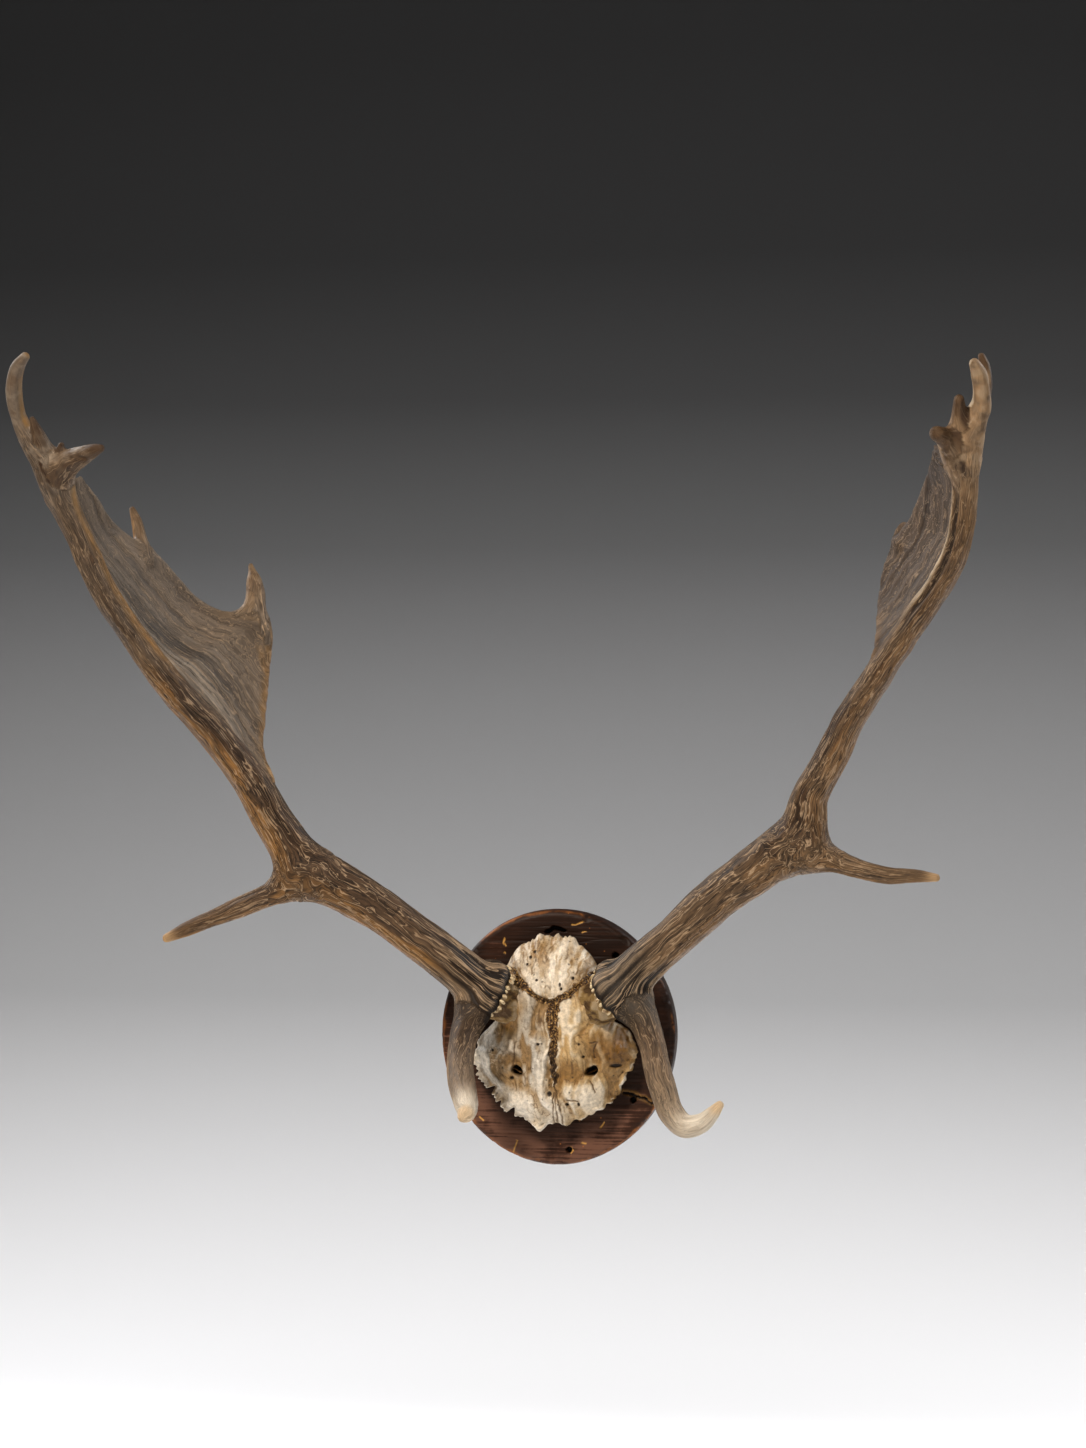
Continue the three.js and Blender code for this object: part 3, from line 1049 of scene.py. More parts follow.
        # Places that the finish colours in their own way.
        below = normals @ unit(np.array([0.55 * self.side.value, -0.15, -0.82]))
        facing = normals @ unit(np.array([-self.side.value, 0.1, 0.45])) - 0.35 * crown * normals[:, 1]
        bar = beam * smooth(self.shape.bar_from, self.shape.bar_from + zones.bar_rise, height)
        inner = bar * smooth(0.5, 0.85, facing)
        # A groove cut along the bar beside the blade, with painted shade laid in it.
        groove = bar * smooth(0.15, 0.4, facing) * smooth(0.85, 0.6, facing) * min(self.shape.groove, 1.0)
        groove = groove * smooth(*zones.groove_height, height)
        lift -= self.shape.groove * groove
        speller = point * smooth(*zones.speller_height, height)
        spread = 0.2 + 0.25 * smooth(*zones.patchy_height, height)
        # Golden on faces turned down: partly the antler's own warm tone, partly painted light from below.
        warm = smooth(0.1, 0.6, below + spread * patch + 0.25 * streak)
        # Painted shade on faces turned down, and brown near the ends of the points.
        under = np.maximum(smooth(0.1, 0.7, below + 0.3 * streak), smooth(*zones.under_left, left))
        edge = np.where(blade, smooth(0.88, 0.98, share + 0.05 * streak), 0.0)
        bare = smooth(self.shape.ivory, 0.25 * self.shape.ivory, left)
        soot = smooth(*zones.soot_along, along)
        brow_soot = 0.9 * brow * smooth(*zones.brow_soot_along, along)
        upper = beam * smooth(*zones.upper_height, height)
        trez_spot = trez * smooth(*zones.trez_spot_left, left)
        masks = {
            "blade": blade + speller,
            "bar": bar * smooth(-0.9, 0.1, streak + 0.3),
            "upper": upper * smooth(-0.25, 0.25, streak) * (1.0 - 0.8 * bar),
            "warm": warm * (1.0 - blade) * (1.0 - 0.85 * bar) * (1.0 - 0.6 * fork),
            "crown": crown,
            "under": crown * point * under,
            "speck": (crown + 0.6 * bar) * smooth(0.3, 0.7, streak - 0.25 * mottle) * (1.0 - 0.65 * worn),
            "cloud": crown * smooth(-0.1, 0.5, streak + 0.4 * patch),
            "gutter": gutter * (0.22 + 0.78 * foot) * calm * (1.0 - 0.5 * bar) * (1.0 - 0.7 * point),
            "ridge": ridge * (0.15 + 0.7 * foot) * calm * (1.0 - 0.5 * bar),
            "amber": inner * (1.0 - 0.2 * crown) * (0.75 + 0.5 * streak),
            "groove": groove,
            # Painted highlight on the faces of the bar turned inwards and up.
            "fold_highlight": bar * smooth(0.7, 0.9, facing) * min(self.shape.groove, 1.0),
            "soot": np.where(beam, soot, brow_soot),
            "root": np.where(blade, smooth(0.5, 0.02, share) * smooth(-0.3, 0.3, streak + 0.15), 0.0),
            "thread": blade * smooth(0.8, 0.1, share) * np.exp(-((broad / 0.25) ** 2)),
            "edge": edge * smooth(*zones.edge_height, height),
            "brow": brow * smooth(*zones.brow_left, left),
            "brow_tip": brow * bare * (0.95 + 0.3 * streak),
            "speller": speller * smooth(*zones.speller_left, left),
            "trez": trez * smooth(*zones.trez_left, left),
            "spot": trez_spot + brow * smooth(*zones.brow_spot_left, left),
            # Painted shadow on the foot of the burr, under the coronet.
            "foot": ring * smooth(*burr.painted_shade, above),
            "stalk": stalk * (1.0 - ring),
            "mottle": mottle,
        }
        # How clear the fine lines are.
        rub = np.where(blade, 0.85 - 0.35 * smooth(0.35, 0.8, share), 1.0)
        brow_rub = 0.6 * smooth(*zones.brow_rub_left, left)
        brow_root = 0.3 + 0.3 * smooth(*zones.brow_root_along, along)
        rub *= 1.0 - np.where(brow, brow_rub, np.where(beam, 0.8 * worn, 0.6 * tip))
        rub *= (1.0 - masks["foot"]) * (1.0 - 0.5 * masks["stalk"]) * (1.0 - 0.3 * bar)
        rub *= 1.0 - crown * np.where(point, 0.35, 0.1) - brow * brow_root
        return lift, {"grain": grain, "rub": rub, "tint": self.finish.tint(masks)}

    def pitted(self, height: Array) -> Array:
        """Where the skin is pitted: low on the top tines."""
        rise, fall = self.zones.pitted_height
        return smooth(*rise, height) * smooth(*fall, height)

    def dress(self, piece: bpy.types.Object, material: bpy.types.Material) -> None:
        """Gives the antler its finish and its place in the frame.

        Args:
            piece: The antler.
            material: Its finish.
        """
        piece.data.materials.append(material)
        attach(piece, "root")
        nodes = [f"{self.name}_{part}" for part in ("beam", "brow_tine", "trez_tine", "palm")]
        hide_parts(*nodes)


@dataclass
class CoronetPearls:
    """The ring of small pearls round the foot of an antler, set by Geometry Nodes."""

    side: Side
    shape: AntlerShape
    ring_radius: float = 23.4
    pearl_radius: float = 1.3
    pitch: float = 4.4
    jog: float = 0.6
    seed: int = 5

    def ring(self) -> tuple[Array, Array]:
        """Draws the ring that the pearls sit on.

        Returns:
            Points of the ring, and the way the beam runs there.
        """
        here, axis, across, outward = self.shape.burr.frame(self.shape.main)
        turn = np.linspace(0.0, 2.0 * math.pi, 120, endpoint=False)
        circle = np.cos(turn)[:, None] * across + np.sin(turn)[:, None] * outward
        wave = self.ring_radius * (1.0 + 0.03 * np.sin(3.0 * turn) + 0.025 * np.sin(7.0 * turn + 1.0))
        heave = 0.7 * np.sin(5.0 * turn) + 0.4 * np.sin(11.0 * turn)
        return here + circle * wave[:, None] + axis * (heave - 1.2)[:, None], axis

    def tree(self, finish: bpy.types.Material) -> bpy.types.NodeTree:
        """Geometry Nodes that set a pearl at every pitch along the ring.

        Args:
            finish: Material of the pearls.

        Returns:
            The node tree, with named inputs for the pearls' radius, pitch and direction.
        """
        tree = bpy.data.node_groups.new("coronet pearls", "GeometryNodeTree")
        sockets = (
            ("Ring", "INPUT", "NodeSocketGeometry"),
            ("Pearl radius", "INPUT", "NodeSocketFloat"),
            ("Pitch", "INPUT", "NodeSocketFloat"),
            ("Axis", "INPUT", "NodeSocketVector"),
            ("Pearls", "OUTPUT", "NodeSocketGeometry"),
        )
        for label, way, kind in sockets:
            tree.interface.new_socket(label, in_out=way, socket_type=kind)
        source = add(tree, "NodeGroupInput")
        curve = add(tree, "GeometryNodeMeshToCurve", {"Mesh": source.outputs["Ring"]})
        places = add(
            tree,
            "GeometryNodeResampleCurve",
            {"Curve": curve.outputs[0], "Length": source.outputs["Pitch"]},
            mode="LENGTH",
        )
        ball = add(
            tree,
            "GeometryNodeMeshIcoSphere",
            {"Radius": source.outputs["Pearl radius"], "Subdivisions": 3},
        )
        soft = add(
            tree,
            "GeometryNodeSetShadeSmooth",
            {"Geometry": ball.outputs["Mesh"], "Shade Smooth": True},
        )
        size = add(
            tree,
            "FunctionNodeRandomValue",
            {0: (0.8, 0.8, 1.2), 1: (1.2, 1.2, 2.0), "Seed": self.seed},
            data_type="FLOAT_VECTOR",
        )
        jog = add(
            tree,
            "FunctionNodeRandomValue",
            {0: (-self.jog * MM,) * 3, 1: (self.jog * MM,) * 3, "Seed": self.seed + 1},
            data_type="FLOAT_VECTOR",
        )
        turned = add(tree, "FunctionNodeAlignRotationToVector", {"Vector": source.outputs["Axis"]}, axis="Z")
        moved = add(
            tree, "GeometryNodeSetPosition", {"Geometry": places.outputs[0], "Offset": jog.outputs["Value"]}
        )
        pearls = add(
            tree,
            "GeometryNodeInstanceOnPoints",
            {
                "Points": moved.outputs[0],
                "Instance": soft.outputs[0],
                "Rotation": turned.outputs[0],
                "Scale": size.outputs["Value"],
            },
        )
        real = add(tree, "GeometryNodeRealizeInstances", {"Geometry": pearls.outputs[0]})
        dressed = add(tree, "GeometryNodeSetMaterial", {"Geometry": real.outputs[0], "Material": finish})
        add(tree, "NodeGroupOutput", {0: dressed.outputs[0]})
        return tree

    def build(self, finish: bpy.types.Material) -> bpy.types.Object:
        """Sets the pearls and keeps them as a plain mesh.

        Args:
            finish: Material of the pearls.

        Returns:
            The pearls of one coronet, in one piece.
        """
        points, axis = self.ring()
        sizes = {"Pearl radius": self.pearl_radius * MM, "Pitch": self.pitch * MM, "Axis": tuple(axis)}
        edges = [(i, (i + 1) % len(points)) for i in range(len(points))]
        return grow(f"{self.side.name.lower()}_coronet_pearls", points, edges, self.tree(finish), sizes)

    def dress(self, piece: bpy.types.Object) -> None:
        """Gives the pearls their place in the frame."""
        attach(piece, "root")


# Skull plate


class BoneTone(Enum):
    """Colours that the eye sees on the skull plate."""

    CREAM = "#cfbea6"
    PALE = "#f2e8d8"
    TAN = "#c0a06e"
    GREY = "#b4a795"
    OCHRE = "#7f5a2a"
    GOLD = "#9c7031"
    ASH = "#c6c1b8"
    SMOKE = "#635f5a"
    BROWN = "#432c14"
    DARK = "#140c06"


@dataclass
class SkullPlate:
    """The cut frontal and parietal bones, a thin vault with a ragged free edge."""

    finish: "BoneFinish"
    centre: Place = (0.0, 2.0)
    rim_line: tuple[Place, ...] = (
        (-10, 76), (0, 75), (10, 76), (18, 68), (26, 60), (32, 49), (35, 28), (42, 13), (54, 5), (60, -8),
        (56, -22), (47, -36), (40, -46), (30, -55), (15, -61), (6, -65), (-3, -63), (-13, -70), (-24, -60),
        (-39, -54), (-46, -43), (-57, -31), (-62, -15), (-57, 0), (-45, 12), (-39, 27), (-38, 51), (-30, 65),
        (-19, 72),
    )
    coronal: tuple[Place, ...] = (
        (-31, 50), (-26, 45), (-20, 38.5), (-13, 33), (-8, 30.5), (1, 27), (4, 30), (12, 34), (22, 42),
        (31, 50),
    )
    frontal: tuple[Place, ...] = ((1, 27), (1, 15), (1.2, -2), (1.5, -18), (1.5, -31))
    splits: tuple[tuple[Place, ...], ...] = (
        ((1.5, -30), (1.7, -42), (1.5, -63)),
        ((2, -36), (4.6, -50), (5.5, -63)),
        ((0.5, -38), (-0.6, -50), (-1.4, -62)),
        ((28, -1), (33.5, -0.7), (31, -4), (30, -10), (31, -13)),
        ((-27.4, -2), (-28.8, -10), (-29.6, -18)),
        ((10, -44), (18, -44.5)),
        ((28, -30), (31, -38)),
    )
    # Holes above the eyes: x, z, half width, half height and turn in radians.
    foramina: tuple[tuple[float, float, float, float, float], ...] = (
        (-27, -23, 4.9, 3.3, -0.5), (28.5, -22.5, 4.9, 3.5, 0.45),
    )
    # Small pits: x, z, half width and half height.
    pits: tuple[tuple[float, float, float, float], ...] = (
        (45.5, -18.6, 4.2, 1.5), (-2.6, -39.4, 1.6, 2.0), (9.9, -47.4, 1.2, 1.2), (18.5, -47, 1.0, 1.4),
        (-31, -28.5, 1.6, 1.3), (-10, -2.5, 1.2, 1.0), (23, -11.5, 1.0, 1.0), (20, -2.2, 0.9, 0.9),
        (-14.5, 64, 1.1, 1.1), (-17.4, 60, 1.0, 1.2), (-19.5, 55, 0.9, 0.9), (7, 38, 1.0, 1.2),
        (-11.5, 44, 1.1, 0.9), (15, 45.5, 1.0, 1.2), (6, 41, 0.9, 1.6), (-45, -8, 1.0, 1.0),
    )
    # Bulges and hollows: x, z, half width, half height and rise.
    bulges: tuple[tuple[float, float, float, float, float], ...] = (
        (0, 48, 24, 21, 3.0), (0, 25, 13, 6, -2.4), (-13, -4, 8, 20, 2.8), (16, -4, 8, 20, 2.8),
        (1.5, -8, 5, 24, -1.8), (-28, -17, 7, 12, -4.4), (30, -16, 7, 12, -4.4), (-14, -45, 11, 10, 2.4),
        (17, -45, 11, 10, 2.4), (-47, -10, 8, 12, 3.2), (48, -7, 8, 10, 3.2), (-33, 25, 15, 15, 13.0),
        (33, 25, 15, 15, 13.0), (-20, 20, 4, 11, 1.6), (21, 18, 4, 11, 1.6), (-38, -34, 6, 8, 1.8),
        (40, -30, 6, 8, 1.8),
    )
    # Stains, and one patch of painted shade: x, z, half width, half height, colour and strength.
    stains_and_shade: tuple[tuple[float, float, float, float, BoneTone, float], ...] = (
        (-28, 46, 5, 9, BoneTone.BROWN, 0.75), (27, 49, 6, 7, BoneTone.BROWN, 0.7),
        (-34, 12, 7, 10, BoneTone.GOLD, 0.9), (41, 12, 11, 6, BoneTone.GOLD, 0.9),
        (-24, 26, 5, 9, BoneTone.OCHRE, 0.5), (31, 4, 8, 9, BoneTone.GOLD, 0.5),
        # The brown patch at x -30, z -7 is painted shade beside the left hollow.
        (-30, -7, 4, 12, BoneTone.BROWN, 0.65), (31, -8, 4, 8, BoneTone.OCHRE, 0.5),
        (46, -8, 14, 15, BoneTone.OCHRE, 1.0), (46, -6, 12, 12, BoneTone.BROWN, 0.85),
        (8, -6, 4, 20, BoneTone.GOLD, 0.5), (6, -24, 4, 9, BoneTone.OCHRE, 0.65),
        (22, -29, 10, 7, BoneTone.GOLD, 0.45), (38, -41, 6, 6, BoneTone.OCHRE, 0.6),
        (-48, -9, 10, 14, BoneTone.SMOKE, 0.25), (-44, -27, 8, 8, BoneTone.SMOKE, 0.5),
        (-11, -48, 15, 12, BoneTone.PALE, 0.8), (-40, -45, 7, 7, BoneTone.OCHRE, 0.5),
        (20, -54, 9, 5, BoneTone.GOLD, 0.4),
        (-9, 66, 5, 7, BoneTone.OCHRE, 0.6), (15, 64, 4, 9, BoneTone.OCHRE, 0.55),
        (-22, 55, 6, 8, BoneTone.GREY, 0.6), (12, 38, 7, 5, BoneTone.OCHRE, 0.35),
        (-13, -14, 8, 20, BoneTone.ASH, 0.7), (-12, 15, 6, 10, BoneTone.ASH, 0.55),
        (-47, -14, 10, 16, BoneTone.ASH, 0.55), (24, -38, 8, 7, BoneTone.ASH, 0.45),
    )
    plaque_face: float = 20.0
    crown: float = 38.0
    rim: float = 11.0
    edge: float = 4.0
    foot: float = 0.8
    stand_off: float = 0.3
    coronal_half: Span = (3.2, 1.7)
    frontal_at: tuple[float, ...] = (0.0, 10.0, 30.0, 58.0)
    frontal_half: tuple[float, ...] = (4.4, 4.0, 3.0, 1.9)
    seam_half: float = 0.7
    split_half: float = 0.5
    fold_height: float = 2.4
    wrinkle_height: float = 0.6
    grain_height: float = 0.35
    hole_depth: float = 12.0
    ledge_rise: float = 7.0
    pit_depth: float = 2.0
    fullness: float = 2.4
    eased_sides: int = 5
    sides: int = 540
    rings: int = 150
    seed: int = 31

    def rim_radius(self, angle: Array) -> tuple[Array, Array]:
        """Distance of the rim from the centre.

        Args:
            angle: Angles about the centre, in radians.

        Returns:
            The smooth distance for each angle, and what the ragged break of the bone adds to it.
        """
        corners = np.array(self.rim_line, float) - np.array(self.centre)
        at = np.arctan2(corners[:, 1], corners[:, 0])
        order = np.argsort(at)
        radius = np.interp(angle, at[order], np.hypot(*corners.T)[order], period=2.0 * math.pi)
        reach = self.eased_sides
        kernel = np.hanning(2 * reach + 1)
        around = np.concatenate([radius[-reach:], radius, radius[:reach]])
        eased = np.convolve(around, kernel / kernel.sum(), "valid")
        place = np.stack([np.cos(angle), np.sin(angle), np.zeros_like(angle)], axis=1)
        lower = smooth(15.0, -25.0, np.sin(angle) * eased)
        top = smooth(62.0, 70.0, np.sin(angle) * eased)
        spiky = 0.6 + 1.3 * lower * smooth(-20.0, -35.0, np.cos(angle) * eased) + 0.9 * top
        fray = rough_noise(place * 9.0, self.seed, 2) + spiky * rough_noise(place * 22.0, self.seed + 40, 2)
        return eased, (0.3 + 1.8 * lower + 1.3 * top) * fray

    def build(self) -> bpy.types.Object:
        """Models the vault ring by ring and works its bones, sutures and holes.

        Returns:
            The skull plate, with attributes that its finish reads.
        """
        angle = np.linspace(-math.pi, math.pi, self.sides, endpoint=False)
        eased, ragged = self.rim_radius(angle)
        outer = np.sin(np.linspace(0.0, math.pi / 2.0, self.rings)) ** 0.8
        back = self.rim - self.edge
        under = np.array(
            [
                (1.006, back + 3.0), (1.004, back + 1.6), (0.99, back + 0.3), (0.95, back),
                (0.88, back - 0.6), (self.foot, back - 1.0), (self.foot, self.stand_off),
                (0.4, self.stand_off), (0.0, self.stand_off),
            ]
        )
        shares = np.concatenate([outer, under[:, 0]])
        reach = np.outer(shares, eased) + np.outer(smooth(0.84, 1.0, shares), ragged)
        place = np.stack([(reach * np.cos(angle)).ravel(), (reach * np.sin(angle)).ravel()], axis=1)
        place = place + np.array(self.centre)
        share = np.repeat(shares, self.sides)
        lift, values = self.surface_values(place, share)
        vault = self.height(share) + lift
        low = np.repeat(np.concatenate([np.zeros(self.rings), under[:, 1]]), self.sides)
        height = np.where(np.arange(len(share)) < self.rings * self.sides, vault, low)
        rise = vault[(self.rings - 1) * self.sides:self.rings * self.sides] - self.rim
        # The first four rings behind the free edge follow its rise, less and less.
        for number in range(4):
            row = slice((self.rings + number) * self.sides, (self.rings + number + 1) * self.sides)
            height[row] = np.maximum(height[row] + rise * (1.0 - number / 5.0), 1.0)
        points = np.stack([place[:, 0], -self.plaque_face - height, place[:, 1]], axis=1)
        return make_piece("skull_bone", points, ring_faces(len(shares), self.sides)[:, ::-1], values)

    def height(self, share: Array) -> Array:
        """Height of the plain vault over the plaque, from its crown to its rim."""
        return self.rim + (self.crown - self.rim) * np.sqrt(np.maximum(0.0, 1.0 - share**self.fullness))

    @staticmethod
    def blob(place: Array, x: float, z: float, half_x: float, half_z: float) -> Array:
        """A soft oval patch, 1 in its middle."""
        return np.exp(-(((place[:, 0] - x) / half_x) ** 2) - ((place[:, 1] - z) / half_z) ** 2)

    def surface_values(self, place: Array, share: Array) -> tuple[Array, dict[str, Array]]:
        """Relief of the bone and its colours.

        Args:
            place: X and Z of each vertex.
            share: How far each vertex is from the centre to the rim.

        Returns:
            Height to add to the vault, and attributes for the finish.
        """
        x, z = place.T
        flat = np.stack([x, z, np.zeros_like(x)], axis=1)
        # Sutures, splits and the dome behind them.
        wander = np.stack([rough_noise(flat / 3.2, self.seed + i, 2) for i in (1, 2)], axis=1)
        walked = place + 1.4 * wander
        coronal, _ = to_line(walked, self.coronal)
        frontal, down = to_line(walked, self.frontal)
        wide = np.interp(down, self.frontal_at, self.frontal_half)
        band = np.maximum(smooth(*self.coronal_half, coronal), smooth(1.2, 0.75, frontal / wide))
        seam = np.maximum(*(np.exp(-((line / self.seam_half) ** 2)) for line in (coronal, frontal)))
        thin = np.zeros_like(x)
        for line in self.splits:
            gap, _ = to_line(place + 0.5 * wander, line)
            thin = np.maximum(thin, np.exp(-((gap / self.split_half) ** 2)))
        dome = smooth(-1.5, 3.0, z - 27.0 - 0.72 * np.abs(x - 1.0) + 1.5 * wander[:, 0])
        # Folds, wrinkles, bulges and hollows of the bone.
        grit = rough_noise(flat / 1.5, self.seed + 6, 2)
        sway = np.stack([lattice_noise(flat / 19.0, self.seed + i) for i in (16, 17, 18)], axis=1)
        folds = rough_noise((flat + 9.0 * sway) / np.array([8.0, 21.0, 30.0]), self.seed + 7, 2)
        wrinkles = rough_noise((flat + 5.0 * sway) / np.array([2.6, 8.0, 30.0]), self.seed + 19, 2)
        grain = rough_noise(flat / 5.0, self.seed + 8, 2)
        calm = 1.0 - 0.6 * dome
        # The folds as they are shaded, for painted shade in their troughs and painted highlight on their
        # crests.
        fold_shading = calm * (folds + 0.3 * wrinkles + 0.15 * grain)
        lift = self.fold_height * folds + self.wrinkle_height * wrinkles + self.grain_height * grain
        lift = calm * lift + 0.1 * grit
        # How deep the hollows are, for the painted shade laid in them.
        hollow = np.zeros_like(x)
        for cx, cz, half_x, half_z, rise in self.bulges:
            blob = self.blob(place, cx, cz, half_x, half_z)
            lift += rise * blob
            hollow += max(-rise, 0.0) * blob
        toothed = smooth(0.1, 0.5, lattice_noise(flat / 2.2, self.seed + 46))
        teeth = smooth(1.7, 1.1, frontal / wide) * (1.0 - band) * toothed
        lift += band * (0.8 * grit - 0.5) - 0.9 * seam * band - 0.9 * thin + 0.8 * teeth
        # Foramina with their inner ledge, pits, and the lip of the free edge.
        hole = np.zeros_like(x)
        ledge = np.zeros_like(x)
        for cx, cz, half_x, half_z, turn in self.foramina:
            over = (x - cx) * math.cos(turn) + (z - cz) * math.sin(turn)
            up = (z - cz) * math.cos(turn) - (x - cx) * math.sin(turn)
            ring = np.hypot(over / half_x, up / half_z) + 0.1 * rough_noise(flat / 3.0, self.seed + 9, 1)
            hole = np.maximum(hole, smooth(1.15, 0.7, ring))
            ledge = np.maximum(ledge, smooth(1.1, 0.3, np.abs(up + 0.5)) * smooth(1.0, 0.6, ring))
        pit = np.zeros_like(x)
        for cx, cz, half_x, half_z in self.pits:
            pit = np.maximum(pit, smooth(1.25, 0.6, np.hypot((x - cx) / half_x, (z - cz) / half_z)))
        lift -= self.hole_depth * hole - self.ledge_rise * ledge + self.pit_depth * pit
        low = smooth(20.0, 0.0, z)
        lift += smooth(0.93, 0.995, share) * low * (1.2 + 2.0 * lattice_noise(flat / 5.0, self.seed + 12))
        lift -= 2.4 * smooth(0.6, 0.9, share) * smooth(1.0, 0.92, share) * low
        # Colours, from the lowest to the highest.
        patch = rough_noise(flat / 16.0, self.seed + 13, 2)
        spread = 24.0 * np.arctan2(x - 0.5, z - 5.0) + 0.5 * wander[:, 0]
        fan = np.stack([spread, np.hypot(x, z - 5.0) / 16.0, 0.3 * grain], axis=1)
        rays = rough_noise(fan, self.seed + 14, 3)
        crackle = np.exp(-((lattice_noise(flat / 4.0 + 0.4 * wander[:, :1], self.seed + 15) / 0.09) ** 2))
        low_bone = 0.85 * self.blob(place, -14, -48, 20, 16) + 0.7 * self.blob(place, 16, -48, 17, 14)
        layers = [
            (BoneTone.TAN, 0.8 * smooth(-14.0, 16.0, x + 8.0 * patch)),
            (BoneTone.CREAM, 0.95 * dome),
            # Painted highlight on the top of the dome.
            (BoneTone.PALE, 0.6 * dome * self.blob(place, 0, 48, 15, 13)),
            (BoneTone.CREAM, low_bone),
        ]
        for cx, cz, half_x, half_z, tone, amount in self.stains_and_shade:
            blob = self.blob(place, cx, cz, half_x, half_z)
            layers.append((tone, amount * blob * (0.95 + 0.4 * patch + 0.2 * grain)))
        layers += [
            # Painted shade in the hollows, stronger on the right.
            (BoneTone.OCHRE, 0.15 * hollow * (0.45 + 0.55 * smooth(-15.0, 15.0, x))),
            # Painted shade in the troughs of the folds on the lower bone, and painted highlight on their
            # crests.
            (BoneTone.OCHRE, 0.68 * smooth(0.0, -0.7, fold_shading) * smooth(-75.0, -28.0, z)),
            (BoneTone.PALE, 0.65 * smooth(0.05, 0.65, fold_shading)),
            (BoneTone.OCHRE, 0.95 * self.blob(place, 46, -7, 14, 13)),
            (BoneTone.OCHRE, 0.6 * dome * smooth(0.05, 0.6, rays) * smooth(0.45, 0.9, share)),
            (BoneTone.BROWN, 0.55 * np.exp(-((wrinkles / 0.1) ** 2)) * smooth(0.5, -0.4, folds)),
            (BoneTone.PALE, 0.4 * dome * smooth(0.0, -0.6, rays)),
            (BoneTone.PALE, 0.6 * crackle * self.blob(place, -48, -10, 11, 17)),
            (BoneTone.PALE, 0.8 * teeth),
            # Painted highlight along the lower free edge.
            (BoneTone.PALE, 0.85 * smooth(0.965, 0.99, share) * low * smooth(-0.4, 0.1, grain)),
            (BoneTone.BROWN, 0.9 * band),
            (BoneTone.DARK, np.maximum(0.6 * seam, 0.7 * smooth(22.0, 48.0, down)) * band),
            # Brown in the splits, and painted shade in the foramina and the pits.
            (BoneTone.BROWN, np.maximum(0.85 * thin, hole)),
            (BoneTone.DARK, 0.85 * pit),
            (BoneTone.DARK, smooth(0.55, 1.0, hole) * (1.0 - ledge)),
            (BoneTone.OCHRE, 0.6 * ledge),
            # Painted shade on the underside of the free edge.
            (BoneTone.DARK, 0.8 * smooth(1.0005, 1.004, share)),
        ]
        suture = band * (1.0 - 0.7 * seam) * (1.0 - 0.65 * smooth(22.0, 48.0, down))
        return lift, {"tint": self.finish.tint(BoneTone.GREY, layers), "suture": suture}

    def dress(self, piece: bpy.types.Object, material: bpy.types.Material) -> None:
        """Gives the skull plate its finish and its place in the frame.

        Args:
            piece: The skull plate.
            material: Its finish.
        """
        piece.data.materials.append(material)
        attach(piece, "root")
        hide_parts("skull_plate")


# Plaque


